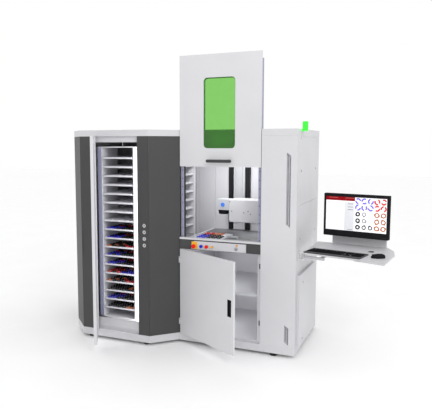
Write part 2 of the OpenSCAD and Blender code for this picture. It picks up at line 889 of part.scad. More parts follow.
module quarter_turn_locks() {
    color("#9a9ca0") {
        for (y = [cover_front + 56, cover_back - 50], z = [cover_joint_2 + 290, cover_joint_2 - 291])
            lock(cab_w + seat, y, z);
        for (z = [cover_joint - 84, body_z + 37])
            lock(cab_w + cover_out + seat, low_cover_front + 130, z);
    }
}

module side_brackets() {
    lamp_y = 150;
    lamp_z = body_top + 30;
    color("#d4d4d7") {
        // bracket and foot of the signal lamp
        box([cab_w + seat, lamp_y - 20, body_top - 28], [cab_w + 4, lamp_y + 20, lamp_z]);
        box([cab_w + seat, lamp_y - 20, lamp_z - 4], [cab_w + 50, lamp_y + 20, lamp_z]);
        translate([cab_w + 27, lamp_y, lamp_z]) cylinder(d = lamp_d - 6, h = 10 - seat);
        // fork of the console with its pin
        box([cab_w + seat, piv[1] - 34, bracket_low - 6],
            [cab_w + 8, piv[1] + 34, bracket_top + 6]);
        for (z = [bracket_low, bracket_top - 12]) {
            box([cab_w + 4, piv[1] - arm_r + 2, z], [piv[0], piv[1] + arm_r - 2, z + 12]);
            translate([piv[0], piv[1], z]) cylinder(r = arm_r - 2, h = 12);
        }
        translate([piv[0], piv[1], bracket_low]) cylinder(r = 8, h = bracket_top - bracket_low);
    }
}

module signal_lamp() {
    color("#28e828") translate([cab_w + 27, 150, body_top + 40]) {
        cylinder(d = lamp_d, h = lamp_h - 6);
        translate([0, 0, lamp_h - 6]) cylinder(d1 = lamp_d, d2 = lamp_d - 8, h = 6);
    }
}

module z_axis() {
    x0 = bay_l + axis_in;
    x1 = x0 + axis_w;
    y0 = back_in - z_rail_d;
    z0 = table_z + 10;
    z1 = body_top - 6;
    color("#28282a") for (x = [x0, x1 - z_rail_w])
        box([x, y0, z0], [x + z_rail_w, back_in - seat, z1]);
    color("#c2c4c8") difference() {
        box([x0 + z_rail_w + 8, y0 + 8, z0], [x1 - z_rail_w - 8, back_in - seat, z1]);
        for (x = [x0 + z_rail_w + 30, x1 - z_rail_w - 36])
            box([x, y0 + 7, z0 - 1], [x + 6, y0 + 14, z1 + 1]);
    }
}

module cabinet_equipment() {
    x0 = panel_t + seat;
    color("#8e9094") {
        // mounting plate with the laser source, the drives and the computer
        box([x0, 120, body_z + 100], [x0 + 4, back_in - 60, body_top - 120]);
        box([x0 + 4 + seat, 160, body_z + 160], [x0 + 180, 640, body_z + 460]);
        box([x0 + 4 + seat, 160, body_z + 620], [x0 + 150, 560, body_z + 820]);
        for (i = [0 : 3])
            box([x0 + 4 + seat, 170 + i * 150, body_z + 1000], [x0 + 140, 290 + i * 150, body_z + 1280]);
        for (z = [body_z + 1380, body_z + 1520])
            box([x0 + 4 + seat, 160, z], [x0 + 70, 700, z + 80]);
    }
}

// ---- Lift door ------------------------------------------------------------------------------

module lift_door() {
    color("#dcdcdf") plate_xz(0, lift_door_t) difference() {
        translate([bay_l + lift_side_gap, lift_z]) square([lift_w, lift_h]);
        round_rect(win_x, lift_z + window_up, window_w, window_h, window_r);
    }
}

module door_window() {
    m = 0.5;
    color("#83c561") {
        plate_xz(lift_door_t / 2 - glass_t / 2, glass_t)
            round_rect(win_x + m, lift_z + window_up + m, window_w - 2 * m, window_h - 2 * m, window_r - m);
        // flange that holds the glass at the back
        plate_xz(lift_door_t + seat, 3) difference() {
            round_rect(win_x - 12, lift_z + window_up - 12, window_w + 24, window_h + 24, window_r + 12);
            round_rect(win_x + 8, lift_z + window_up + 8, window_w - 16, window_h - 16, window_r - 8);
        }
    }
}

// An angle on the door's back whose leg carries two slide shoes in the guide channel
module door_runner() {
    z0 = lift_z + 13;
    z1 = lift_z + lift_h - 57;
    leg = guide_y + guide_d - 2;
    box([runner_out, lift_door_t + seat, z0], [runner_out + 28, lift_door_t + 3, z1]);
    box([runner_out, lift_door_t + seat, z0], [runner_out + 3, leg, z1]);
    for (z = [z0 + 10, z0 + 150])
        box([runner_out + 3, guide_y + guide_sheet + 3, z],
            [guide_w + 2, guide_y + guide_d - guide_sheet - 3, z + 60]);
}

module door_runners() {
    color("#8a8a9c") {
        translate([bay_l, 0, 0]) door_runner();
        mirror([1, 0, 0]) door_runner();
        // arm to the cylinder's carriage
        box([cyl_x - cyl_r - link_w, lift_door_t + seat, link_low],
            [cyl_x - cyl_r - link_w / 2, cyl_y + 12, link_top]);
        box([cyl_x - cyl_r - 4, cyl_y - 11, link_low], [cyl_x - cyl_r - seat, cyl_y + 12, link_top]);
    }
}

module door_handle() {
    z = lift_z + handle_up;
    r = handle_d / 2;
    color("#4a4a4c") {
        translate([handle_x + r, -handle_out, z]) rotate([0, 90, 0]) cylinder(r = r, h = handle_l - 2 * r);
        for (x = [handle_x + r, handle_x + handle_l - r]) translate([x, -handle_out, z]) sphere(r = r);
    }
    color("#4a4a4c") for (x = [handle_x + 32, handle_x + handle_l - 32]) {
        along_y(x, -handle_out, z, 8, handle_out - seat);
        along_y(x, -6, z, 13, 6 - seat);
    }
}

// ---- Doors on hinges ------------------------------------------------------------------------

module magazine_door() {
    gap = mag_pivot[0] - open_l + 2 * door_gap;
    color("#e0e0e3") on_mag_door() {
        difference() {
            box([gap + 3, 0, body_z + 2], [mag_door_l, mag_door_t, body_top - 2]);
            // recess that takes the hinge knuckles
            for (z = mag_hinges) translate([0, 0, z - 2]) cylinder(r = barrel_r + 2, h = 64);
            // window of the sight panel, seen on the inside as a shallow field
            box([60, mag_door_t - 4, body_z + 120], [mag_door_l - 40, mag_door_t + 1, body_top - 120]);
        }
        for (z = mag_hinges) door_hinge(z, 60, 0, 34);
    }
}

module lower_door() {
    y0 = -2 - lower_pivot[1];
    color("#d6d6d9") on_lower_door() {
        difference() {
            box([6, y0, lower_z], [lower_l + 4, y0 + lower_door_t, lower_z + lower_h]);
            for (z = lower_hinges) translate([0, 0, z - 2]) cylinder(r = barrel_r + 1, h = 61);
            // pocket of the pull
            box([lower_l + 4 - pull_in - pull_w, y0 - 1, pull_z],
                [lower_l + 4 - pull_in, y0 + 14, pull_z + pull_h]);
        }
        for (z = lower_hinges) door_hinge(z, 57, y0, 30);
    }
}

module recessed_pull() {
    y0 = -2 - lower_pivot[1];
    x0 = lower_l + 4 - pull_in - pull_w + seat;
    x1 = lower_l + 4 - pull_in - seat;
    z0 = pull_z + seat;
    z1 = pull_z + pull_h - seat;
    color("#2a2a2c") on_lower_door() difference() {
        box([x0, y0 - 1, z0], [x1, y0 + 14 - seat, z1]);
        box([x0 + 3, y0 - 2, z0 + 3], [x1 - 3, y0 + 11, z1 - 3]);
    }
}

// ---- Carousel -------------------------------------------------------------------------------

module turntable() {
    low = body_z + 17;
    top = table_top;
    under = top - table_disc_t;
    color("#d2d2d5") translate([axis_x, axis_y, 0]) rotate_extrude($fn = 96)
        polygon([[25, under], [table_r, under], [table_r, top], [25, top]]);
    // skirt screwed under the disc
    color("#d2d2d5") translate([axis_x, axis_y, 0]) rotate_extrude($fn = 96)
        polygon([[table_r - 20, low], [table_r - 10, low], [table_r - 10, under - seat],
            [table_r - 20, under - seat]]);
}

module carousel_column() {
    h0 = table_top + seat;
    h1 = rack_top - seat;
    inner = column_w - 2 * column_wall;
    half = flange_out;
    top = rack_top + top_plate_t;
    color("#8e9095") translate([axis_x, axis_y, 0]) {
        // square column of four plates
        for (a = [0 : 90 : 270]) rotate(a)
            box([-inner / 2 + seat, -column_w / 2, h0], [column_w / 2, -inner / 2, h1]);
        // plate on top of the racks: a middle square and an arm over each rack
        box([-half, -half, rack_top], [half, half, top]);
        for (a = [0 : 90 : 270]) rotate(a)
            box([-half, -rack_face, rack_top], [half, -half - seat, top]);
        // pivot pin that stands on the plate
        translate([0, 0, top + seat]) cylinder(r = pivot_d / 2, h = body_top - 8 - top - seat);
        // angles that bolt the column to the turntable
        for (a = [0 : 90 : 270]) rotate(a)
            box([-column_w / 2, -column_w / 2 - 26, h0], [column_w / 2, -column_w / 2 - seat, h0 + 8]);
    }
}

// Front flange of a rack with its row of holes
module flange_outline(holes) {
    difference() {
        translate([seat, table_top + seat]) square([rack_flange - seat, rack_top - table_top - 2 * seat]);
        if (holes) for (k = [0 : 2 * levels - 1])
            translate([rack_flange / 2, tray_mid(0) - 20 + k * tray_pitch / 2]) circle(d = flange_hole_d);
    }
}

module rack_walls() {
    color("#d8d8dc") each_rack() {
        for (s = [-1, 1]) {
            // side wall
            translate([s * (wall_in + rack_sheet / 2) - rack_sheet / 2, -rack_face, table_top + seat])
                cube([rack_sheet, rack_l, rack_top - table_top - 2 * seat]);
            // ledges
            for (k = [0 : levels - 1])
                translate([s > 0 ? wall_in - ledge_w - seat : -wall_in + seat, -rack_face + 6,
                    tray_mid(k) - tray_h / 2 - ledge_t - seat])
                    cube([ledge_w, rack_l - 8, ledge_t]);
        }
        translate([wall_in + rack_sheet, -rack_face + rack_sheet, 0]) rotate([90, 0, 0])
            linear_extrude(height = rack_sheet) flange_outline(false);
        translate([-wall_in - rack_sheet, -rack_face + rack_sheet, 0]) mirror([1, 0, 0]) rotate([90, 0, 0])
            linear_extrude(height = rack_sheet) flange_outline(true);
    }
}

// A nest tray with cut corners, lying flat, its middle at the origin
module tray() {
    a = tray_w / 2;
    b = tray_l / 2;
    c = tray_corner;
    translate([0, 0, -tray_h / 2]) linear_extrude(height = tray_h)
        polygon([[-a + c, -b], [a - c, -b], [a, -b + c], [a, b - c], [a - c, b], [-a + c, b],
            [-a, b - c], [-a, -b + c]]);
}

// The racks are full but for two places at the work level: that of the tray in the bay and that
// of the rack which comes next
module rack_trays() {
    y = -rack_face + 1.5 + tray_l / 2;
    color("#d0d0d4") for (side = [0 : 3], k = [0 : levels - 1])
        if (k != work_level || side == 0 || side == 3)
            translate([axis_x, axis_y, tray_mid(k)]) rotate([0, 0, 90 * side])
                translate([0, y, 0]) tray();
}

// The rings of one tray, standing on its top
module rings() {
    for (i = [0 : ring_cols - 1], j = [0 : ring_rows - 1])
        translate([(i - (ring_cols - 1) / 2) * piece_pitch, (j - (ring_rows - 1) / 2) * piece_pitch,
            tray_h / 2 + seat]) difference() {
            cylinder(d = piece_d, h = piece_h, $fn = 24);
            translate([0, 0, -1]) cylinder(d = piece_d - 2 * piece_wall, h = piece_h + 2, $fn = 24);
        }
}

module workpieces() {
    y = -rack_face + 1.5 + tray_l / 2;
    color("#303034") for (k = [0 : min(loaded_trays, levels) - 1])
        translate([axis_x, axis_y + y, tray_mid(k)]) rings();
}

// ---- Laser head -----------------------------------------------------------------------------

module laser_housing() {
    m = 6;
    color("#e4e4e6") difference() {
        box([laser_x, laser_y, laser_z], [laser_x + laser_w, laser_y + laser_l, laser_z + laser_h]);
        // seam of the front cover
        box([laser_x + 60, laser_y - 1, laser_z - 1], [laser_x + 62, laser_y + 1, laser_z + laser_h + 1]);
        // cooling slots in the top
        for (i = [0 : 5])
            box([laser_x + 60, laser_y + 120 + i * 30, laser_z + laser_h - m],
                [laser_x + laser_w - 60, laser_y + 132 + i * 30, laser_z + laser_h + 1]);
    }
}

module z_carriage() {
    x0 = bay_l + axis_in;
    x1 = x0 + axis_w;
    y1 = back_in - z_rail_d;
    y0 = y1 - 40;
    color("#3c3c3f") {
        box([x0, laser_y + laser_l + seat, laser_z + 10],
            [laser_x + laser_w, laser_y + laser_l + carriage_t, laser_z + laser_h - 10]);
        for (x = [x0 + 2, x1 - z_rail_w + 2], z = [laser_z + 22, laser_z + laser_h - 82])
            box([x, laser_y + laser_l + carriage_t - 1, z], [x + z_rail_w - 4, y1 - seat, z + 60]);
    }
}

module scan_head() {
    color("#cbd0d4") {
        box([scan_x, laser_y + 2, scan_z], [laser_x - seat, laser_y + 2 + scan_w, scan_z + scan_h]);
        along_y(scan_x + scan_w / 2, laser_y - 2, scan_z + scan_h / 2, 20, 5);
    }
}

module ftheta_lens() {
    color("#1c1c1e") translate([lens_x, lens_y, 0]) {
        translate([0, 0, scan_z - 14]) cylinder(r = lens_r + 2, h = 14 - seat);
        difference() {
            translate([0, 0, scan_z - 14 - lens_h]) cylinder(r = lens_r, h = lens_h + 1);
            translate([0, 0, scan_z - 15 - lens_h]) cylinder(r1 = lens_r - 6, r2 = lens_r - 14, h = 9);
        }
    }
}

// ---- Tray shuttle ---------------------------------------------------------------------------

module tray_gripper() {
    tip = tray_home + tray_l / 2;
    top = work_z + tray_h;
    color("#8b8d92") {
        // jaw over the tray's rim, with the stop behind it
        box([tip - 14, work_y - 14, top + seat], [tip + 14, work_y + 14, top + 7]);
        box([tip + seat, work_y - 14, table_z + 1], [tip + 14, work_y + 14, top + 1]);
        // arm, post through the table and carriage on the rail
        box([tip + 10, work_y - 8, top - 9], [post_x + 8, work_y + 8, top + 7]);
        box([post_x - 8, work_y - 7, rail_z + 30], [post_x + 8, work_y + 7, top]);
        box([post_x - 8, work_y - 26, rail_z + 18 + seat], [post_x + 84, work_y + 26, rail_z + 32]);
    }
}

module work_tray() {
    color("#d0d0d4") translate([tray_home, work_y, work_z + tray_h / 2]) rotate([0, 0, 90]) tray();
}

module work_rings() {
    color("#303034") translate([tray_home, work_y, work_z + tray_h / 2]) rotate([0, 0, 90]) rings();
}

// ---- Buttons --------------------------------------------------------------------------------

// A push button on a plate whose face is at y: cap in front, stem through the hole
module push_button(x, y, z, cap_r, cap_l) {
    along_y(x, y - cap_l - button_travel - 1, z, cap_r, cap_l);
    along_y(x, y - button_travel - 2, z, stem_r, control_t + button_travel + 8);
}

module estop_button() {
    y = -control_t - 2 - seat;
    color("#e01018") translate([estop_x, y, panel_mid]) rotate([90, 0, 0]) rotate_extrude() {
        polygon([[0, -14], [stem_r, -14], [stem_r, 12], [estop_d / 2 - 5, 16], [estop_d / 2, 24],
            [estop_d / 2, 28], [estop_d / 2 - 4, 32], [0, 33]]);
    }
}

module blue_button() {
    color("#2828be") push_button(blue_x, button_face, panel_mid, button_d / 2 - 0.5, 7);
}

module red_button() {
    color("#f01414") push_button(red_x, button_face, panel_mid, button_d / 2 + 0.5, 9);
}

module yellow_button() {
    color("#f0b41e") {
        plate_xz(button_face - 9, 5) round_rect(yellow_x - 12, panel_mid - 9, 24, 18, 8);
        along_y(yellow_x, button_face - 5, panel_mid, stem_r, control_t + 10);
    }
}

module key_switch() {
    y = -control_t - 6 - seat;
    color("#9c9ea2") {
        difference() {
            along_y(key_x, y - 3, panel_mid, 11, 3 - seat);
            box([key_x - 7, y - 4, panel_mid - 1.5], [key_x + 7, y - 1.5, panel_mid + 1.5]);
        }
        along_y(key_x, y - 1, panel_mid, stem_r, control_t + 14);
    }
}

module magazine_button(i) {
    r = mag_button_d / 2 - 3.5 - 0.4;
    color("#c0c2c6") along_y(mag_r - mag_button_inset, mag_y - 7, mag_button_z + i * mag_button_pitch,
        r, panel_t + 2);
}

module magazine_button_1() { magazine_button(0); }

module magazine_button_2() { magazine_button(1); }

module magazine_button_3() { magazine_button(2); }

module magazine_button_4() { magazine_button(3); }

// ---- Console --------------------------------------------------------------------------------

module console_arm() {
    low = bracket_low + 12 + seat;
    high = bracket_top - 12 - seat;
    color("#c8c8cb") on_console() difference() {
        union() {
            translate([0, 0, low]) cylinder(r = arm_r - 2, h = high - low);
            // swing arm that carries the tray from below
            box([0, -11, arm_top - 22], [130, 11, arm_top]);
            box([110, -60, arm_top - 8], [420, 260, arm_top]);
        }
        translate([0, 0, low - 1]) cylinder(r = 8 + run, h = high - low + 2);
    }
}

// Plan of the console tray: keyboard part, deeper mouse part, slanted right side
module console_outline() {
    left = 17 / cos(console_turn);
    t = tan(console_turn);
    polygon([[left - (kb_front + front_rise) * t, kb_front + front_rise], [keyboard_zone - 12, kb_front],
        [keyboard_zone + 20, kb_front - step], [console_w, kb_front - step - step_slant],
        [console_w - 44, 274], [console_w - 104, 454], [console_w - 205, console_d],
        [left - 540 * t, 540]]);
}

module console_tray() {
    z0 = console_z - console_t;
    color("#dadadd") on_console() {
        difference() {
            translate([0, 0, z0]) linear_extrude(height = console_t) console_outline();
            // hole of the cable grommet
            translate([475, 312, z0 - 1]) cylinder(r = 25, h = console_t + 2);
        }
        // upright that carries the monitor, screwed onto the tray
        box([28, upright_y, console_z + seat], [524, upright_y + 20, console_z + upright_h]);
    }
    color("#2a2a2c") on_console() difference() {
        translate([475, 312, console_z - 6]) cylinder(r = 25 - seat, h = 9);
        translate([475, 312, console_z - 2]) cylinder(r = 14, h = 6);
    }
}

module monitor() {
    z0 = console_z + monitor_up;
    x0 = monitor_x - monitor_w / 2;
    bezel_side = 20;
    bezel_top = 26;
    bezel_low = 56;
    color("#2c2c2e") on_console() {
        difference() {
            plate_xz(monitor_y, monitor_d) round_rect(x0, z0, monitor_w, monitor_h, 6);
            box([x0 + bezel_side, monitor_y - 1, z0 + bezel_low],
                [x0 + monitor_w - bezel_side, monitor_y + 2, z0 + monitor_h - bezel_top]);
        }
        // rear housing and mounting plate
        box([monitor_x - 170, monitor_y + monitor_d - 1, z0 + 8],
            [monitor_x + 170, monitor_y + monitor_d + 18, z0 + monitor_h - 90]);
        box([monitor_x - 50, monitor_y + monitor_d + 10, console_z + 85],
            [monitor_x + 50, upright_y - seat, console_z + upright_h - 5]);
    }
}

module keyboard() {
    x0 = 20;
    y0 = kb_front + front_rise + 7;
    z0 = console_z + seat;
    color("#303032") on_console() {
        box([x0, y0, z0], [x0 + keyboard_w, y0 + keyboard_l, z0 + 7]);
        // fields of keys: letters, arrows, numbers and the function row
        field = keyboard_w - 20;
        for (f = [[0, 0.66], [0.69, 0.82], [0.85, 1]])
            box([x0 + 10 + f[0] * field, y0 + 40, z0 + 6], [x0 + 10 + f[1] * field, y0 + 165, z0 + 10]);
        box([x0 + 10, y0 + 175, z0 + 6], [x0 + 10 + field, y0 + keyboard_l - 12, z0 + 10]);
    }
}

module mouse() {
    x = (console_w + keyboard_zone) / 2 - 15;
    y = 95;
    z = console_z + seat;
    color("#2a2a2c") on_console() translate([x, y, z]) rotate([0, 0, 35]) intersection() {
        translate([0, 0, -44]) scale([1, 0.62, 1]) sphere(r = 78);
        translate([-60, -40, 0]) cube([120, 80, 40]);
    }
}

place() levelling_feet();
place() plinth();
place() magazine_panels();
place() top_caps();
place() header_panels();
place() hinges();
place() carousel_drive();
place() partition_panels();
place() rear_panels();
place() work_table();
place() fascia();
place() lift_guides();
place() lift_cylinder();
place() control_panel();
place() button_bezels();
place() estop_plate();
place() cupboard_shelf();
place() cupboard_jambs();
place() cabinet_front_panel();
place() vent_grilles();
place() cabinet_walls();
place() access_covers();
place() quarter_turn_locks();
place() side_brackets();
place() signal_lamp();
place() z_axis();
place() cabinet_equipment();
place() lift_door();
place() door_window();
place() door_runners();
place() door_handle();
place() magazine_door();
place() lower_door();
place() recessed_pull();
place() turntable();
place() carousel_column();
place() rack_walls();
place() rack_trays();
place() workpieces();
place() laser_housing();
place() z_carriage();
place() scan_head();
place() ftheta_lens();
place() tray_gripper();
place() work_tray();
place() work_rings();
place() estop_button();
place() blue_button();
place() red_button();
place() yellow_button();
place() key_switch();
place() magazine_button_1();
place() magazine_button_2();
place() magazine_button_3();
place() magazine_button_4();
place() console_arm();
place() console_tray();
place() monitor();
place() keyboard();
place() mouse();
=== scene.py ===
# %% [markdown]
# # Laser marking machine
# The solids of the machine come in ready packed: every panel, door, tray and lens has its real
# size and rides on the body that moves it. This lesson dresses that frame. It gives each surface
# a procedural finish, and builds the small things that a solid model leaves plain: nest trays,
# moulded rings, key caps, the screen and the screws.

# %% Load the frame
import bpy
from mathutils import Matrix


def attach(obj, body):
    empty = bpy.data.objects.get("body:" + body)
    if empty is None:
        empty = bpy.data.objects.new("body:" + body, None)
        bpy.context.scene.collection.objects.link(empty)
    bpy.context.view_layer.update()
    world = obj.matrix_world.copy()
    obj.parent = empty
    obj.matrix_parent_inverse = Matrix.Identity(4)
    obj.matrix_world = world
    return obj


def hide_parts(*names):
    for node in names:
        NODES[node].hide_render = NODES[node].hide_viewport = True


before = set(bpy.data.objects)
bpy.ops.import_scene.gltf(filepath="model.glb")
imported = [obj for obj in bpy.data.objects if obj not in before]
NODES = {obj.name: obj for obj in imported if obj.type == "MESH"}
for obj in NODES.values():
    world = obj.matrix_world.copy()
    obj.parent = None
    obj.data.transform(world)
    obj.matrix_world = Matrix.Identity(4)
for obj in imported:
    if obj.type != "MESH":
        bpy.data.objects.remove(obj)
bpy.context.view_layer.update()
import math

import bmesh
import bpy
from mathutils import Matrix, Vector

# %% [markdown]
# Drawings of a machine are in millimetres, Blender works in metres, and this drawing counts
# from the cabinet's front edge while the frame counts from the middle of the footprint. One
# small function does both steps, so every number below can be read off the drawing.

# %% Plan coordinates
PLAN_X, PLAN_Y = 0.409447, -0.155423


def at(x, y, z):
    """A point of the drawing, in millimetres, as a point of the frame, in metres."""
    return Vector((x / 1000 + PLAN_X, y / 1000 + PLAN_Y, z / 1000))


print("work tray at", [round(v, 3) for v in at(-572, 350, 953)])

# %% [markdown]
# The camera stands right of the machine at about eye height and looks slightly down. The long
# lens keeps the uprights nearly parallel, and a small shift sets the machine in the frame
# without tilting the camera further.

# %% Camera
eye = bpy.data.cameras.new("eye")
eye.sensor_width = 36
eye.lens = 46.164
eye.shift_x, eye.shift_y = 0.03999, -0.00133
eye.clip_start, eye.clip_end = 0.1, 60
camera = bpy.data.objects.new("camera", eye)
camera.location = at(1346.8, -4499.5, 1809.9)
camera.rotation_euler = (math.radians(84.0), 0, math.radians(23.12))
bpy.context.scene.collection.objects.link(camera)
bpy.context.scene.camera = camera
print("camera at", [round(v, 3) for v in camera.location])

# %% [markdown]
# A studio for a pale machine starts with an even white sky. A picture of a room would give
# richer reflections, but its windows would show as patches on the coated sheet.

# %% Sky
scene = bpy.context.scene
scene.view_settings.view_transform = "Standard"
world = bpy.data.worlds.new("studio")
scene.world = world
world.use_nodes = True
sky = world.node_tree.nodes["Background"]
sky.inputs["Color"].default_value = (1.0, 1.0, 1.0, 1)
sky.inputs["Strength"].default_value = 1.0
print("sky strength", sky.inputs["Strength"].default_value)

# %% [markdown]
# One large key lamp hangs at the upper right front, so that soft shadows fall to the left and
# back. Small lamps light the inside, where a lamp outside would leave black holes: under the
# bay's header and the laser head, beside the magazine opening, under the magazine's roof, and
# in the cupboard. Area lamps are used because their shadows have soft edges.

# %% Lamps
def lamp(name, place, aim, size, power, depth=None, spread=180):
    """A round lamp, or one of size by depth, in metres; power in watts, spread in degrees."""
    data = bpy.data.lights.new(name, "AREA")
    data.spread = math.radians(spread)
    data.shape, data.size, data.energy = "RECTANGLE" if depth else "DISK", size, power
    if depth:
        data.size_y = depth
    obj = bpy.data.objects.new(name, data)
    obj.location = place
    obj.rotation_euler = (aim - place).to_track_quat("-Z", "Y").to_euler()
    obj.visible_camera = False
    scene.collection.objects.link(obj)


middle = at(-600, 300, 900)
lamp("key", middle + Vector((3.6, -4.4, 3.6)), middle, 1.6, 80)
lamp("bay_light", at(-400, 230, 1862), at(-480, 700, 1300), 0.5, 3.8, 0.1, 110)
lamp("bay_fill", at(-250, 640, 1085), at(-250, 640, 960), 0.34, 0.7, 0.24)
lamp("magazine_light", at(-1070, -150, 1000), at(-1330, 40, 1000), 0.03, 4.5, 1.68)
lamp("carousel_light", at(-1327, 350, 1815), at(-1327, 350, 1900), 0.6, 6, 0.6)
lamp("cupboard_light", at(-690, 250, 500), at(-40, 330, 480), 0.1, 3.6, 0.65)

# %% [markdown]
# Colours are easiest to choose as a screen shows them, from 0 to 255, but a shader counts in
# linear light. One helper turns the first into the second.

# %% Colour helper
def srgb(r, g, b):
    """A colour given in display values from 0 to 255, as the linear colour a shader wants."""
    def lin(c):
        c /= 255
        return c / 12.92 if c <= 0.04045 else ((c + 0.055) / 1.055) ** 2.4
    return (lin(r), lin(g), lin(b), 1)


print("half grey is", round(srgb(128, 128, 128)[0], 3), "in linear light")

# %% [markdown]
# No real surface has one even colour and gloss. Both wander a little, and here they follow
# noise. Painted pictures could do that too, but noise has no seams and needs no unwrapping. The
# nodes are placed by small helpers, because every texture below needs the same few.

# %% Node helpers
def group(name, inputs, outputs):
    """An empty node group with its sockets, and the nodes that hold them inside."""
    tree = bpy.data.node_groups.new(name, "ShaderNodeTree")
    for label, kind, value in inputs:
        s = tree.interface.new_socket(label, in_out="INPUT", socket_type=kind)
        if value is not None:
            s.default_value = value
    for label in outputs:
        tree.interface.new_socket(label, in_out="OUTPUT", socket_type="NodeSocketFloat")
    return tree, tree.nodes.new("NodeGroupInput"), tree.nodes.new("NodeGroupOutput")


def noise(tree, vector, scale, detail):
    """Smooth noise, as a value from 0 to 1."""
    n = tree.nodes.new("ShaderNodeTexNoise")
    n.inputs["Scale"].default_value = scale
    n.inputs["Detail"].default_value = detail
    tree.links.new(vector, n.inputs["Vector"])
    return n.outputs["Fac"]


def spread(tree, value, low, high):
    """Stretches noise, which stays near a half, over a range of its own."""
    n = tree.nodes.new("ShaderNodeMapRange")
    n.inputs["From Min"].default_value, n.inputs["From Max"].default_value = 0.3, 0.7
    n.inputs["To Min"].default_value, n.inputs["To Max"].default_value = low, high
    tree.links.new(value, n.inputs["Value"])
    return n.outputs["Result"]


print("node helpers ready")

# %% [markdown]
# Powder coat cures with a fine orange peel, a brushed metal has lines along one axis, moulded
# plastic has a fine grain, and rubber and castings a coarse one. They differ only in scale and
# stretch, so one recipe makes a node group for each. The noise lies in object space, so that it
# stays on a panel when a door moves.

# %% Surface groups
def make_texture(name, fine, cloud, stretch=(1, 1, 1)):
    """A group that gives Shade and Gloss, from 0 to 1, and a Height for bump."""
    inputs = [("Vector", "NodeSocketVector", None)]
    tree, gin, gout = group(name, inputs, ["Shade", "Gloss", "Height"])
    m = tree.nodes.new("ShaderNodeMapping")
    m.inputs["Scale"].default_value = stretch
    tree.links.new(gin.outputs["Vector"], m.inputs["Vector"])
    small = noise(tree, m.outputs["Vector"], fine, 2.0)
    large = noise(tree, gin.outputs["Vector"], cloud, 3.0)
    tree.links.new(spread(tree, large, 0, 1), gout.inputs["Shade"])
    tree.links.new(spread(tree, small, 0, 1), gout.inputs["Gloss"])
    tree.links.new(small, gout.inputs["Height"])
    return tree


TEXTURES = {
    "coat": make_texture("orange_peel", 520, 2.2),
    "brushed": make_texture("brushed_lines", 90, 5.0, (1, 12, 1)),
    "moulded": make_texture("moulded_grain", 900, 14.0),
    "rubbery": make_texture("rubber_grain", 300, 20.0),
}
print("surface groups", sorted(TEXTURES))

# %% [markdown]
# A finish is one Principled shader. What is the same all over, such as metal or the index of
# refraction, is set on its own socket. What wanders, such as the shade and the gloss, comes
# from the texture group through a mix or a map range, and the height goes through a bump node.

# %% Recipe for a finish
def finish(name, colour, rough=0.45, metal=0.0, texture="coat", wander=0.03, bump=0.04,
           glow=0.0, shine=0.5):
    """A Principled material whose shade wanders by a share and whose gloss by a twentieth."""
    mat = bpy.data.materials.new(name)
    mat.use_nodes = True
    tree = mat.node_tree
    shader = tree.nodes["Principled BSDF"]
    shader.inputs["Metallic"].default_value = metal
    shader.inputs["Specular IOR Level"].default_value = shine
    where = tree.nodes.new("ShaderNodeTexCoord")
    tex = tree.nodes.new("ShaderNodeGroup")
    tex.node_tree = TEXTURES[texture]
    tree.links.new(where.outputs["Object"], tex.inputs["Vector"])
    mix = tree.nodes.new("ShaderNodeMix")
    mix.data_type = "RGBA"
    mix.inputs[6].default_value = tuple(c * (1 - wander) for c in colour[:3]) + (1,)
    mix.inputs[7].default_value = tuple(min(1, c * (1 + wander)) for c in colour[:3]) + (1,)
    tree.links.new(tex.outputs["Shade"], mix.inputs[0])
    tree.links.new(mix.outputs[2], shader.inputs["Base Color"])
    if glow:
        shader.inputs["Emission Strength"].default_value = glow
        tree.links.new(mix.outputs[2], shader.inputs["Emission Color"])
    gloss = tree.nodes.new("ShaderNodeMapRange")
    gloss.inputs["To Min"].default_value = max(0, rough - 0.05)
    gloss.inputs["To Max"].default_value = min(1, rough + 0.05)
    tree.links.new(tex.outputs["Gloss"], gloss.inputs["Value"])
    tree.links.new(gloss.outputs["Result"], shader.inputs["Roughness"])
    b = tree.nodes.new("ShaderNodeBump")
    b.inputs["Strength"].default_value = bump
    b.inputs["Distance"].default_value = 0.001
    tree.links.new(tex.outputs["Height"], b.inputs["Height"])
    tree.links.new(b.outputs["Normal"], shader.inputs["Normal"])
    return mat


came_with_frame = len(bpy.data.materials)
print("a finish has", len(TEXTURES), "textures to choose from")

# %% [markdown]
# The machine is folded sheet with powder coat. The outside is a pale grey and the magazine's
# front is nearly black. Each panel group gets its own grey, a few steps apart, because panels
# of one white would melt together under a white sky. The work table and the castings are
# coarser, so they take the grain of rubber.

# %% Coated sheet
light_coat = finish("light_coat", srgb(204, 204, 207))
door_coat = finish("door_coat", srgb(207, 207, 210))
inner_coat = finish("inner_coat", srgb(206, 206, 210), rough=0.5)
console_coat = finish("console_coat", srgb(196, 196, 199))
tray_coat = finish("tray_coat", srgb(214, 214, 219), rough=0.35)
guide_coat = finish("guide_coat", srgb(146, 147, 170), rough=0.45)
pierced_coat = finish("pierced_coat", srgb(170, 172, 200))
dark_coat = finish("dark_coat", srgb(60, 60, 61), rough=0.5, wander=0.05)
scan_coat = finish("scan_coat", srgb(190, 192, 196), rough=0.4)
grille_coat = finish("grille_coat", srgb(188, 189, 193), rough=0.5)
table_coat = finish("table_coat", srgb(108, 109, 112), rough=0.5, texture="rubbery", bump=0.03)
cast_grey = finish("cast_grey", srgb(164, 165, 169), rough=0.55, texture="rubbery", bump=0.12)
print("finishes", len(bpy.data.materials) - came_with_frame)

# %% [markdown]
# Bare metal is rare on it: turned button rings, satin hinges and locks, an anodised profile and
# two black rails. Full Metallic takes its colour from what it mirrors. The anodised profile has
# a dull oxide skin, so it is only in part metallic.

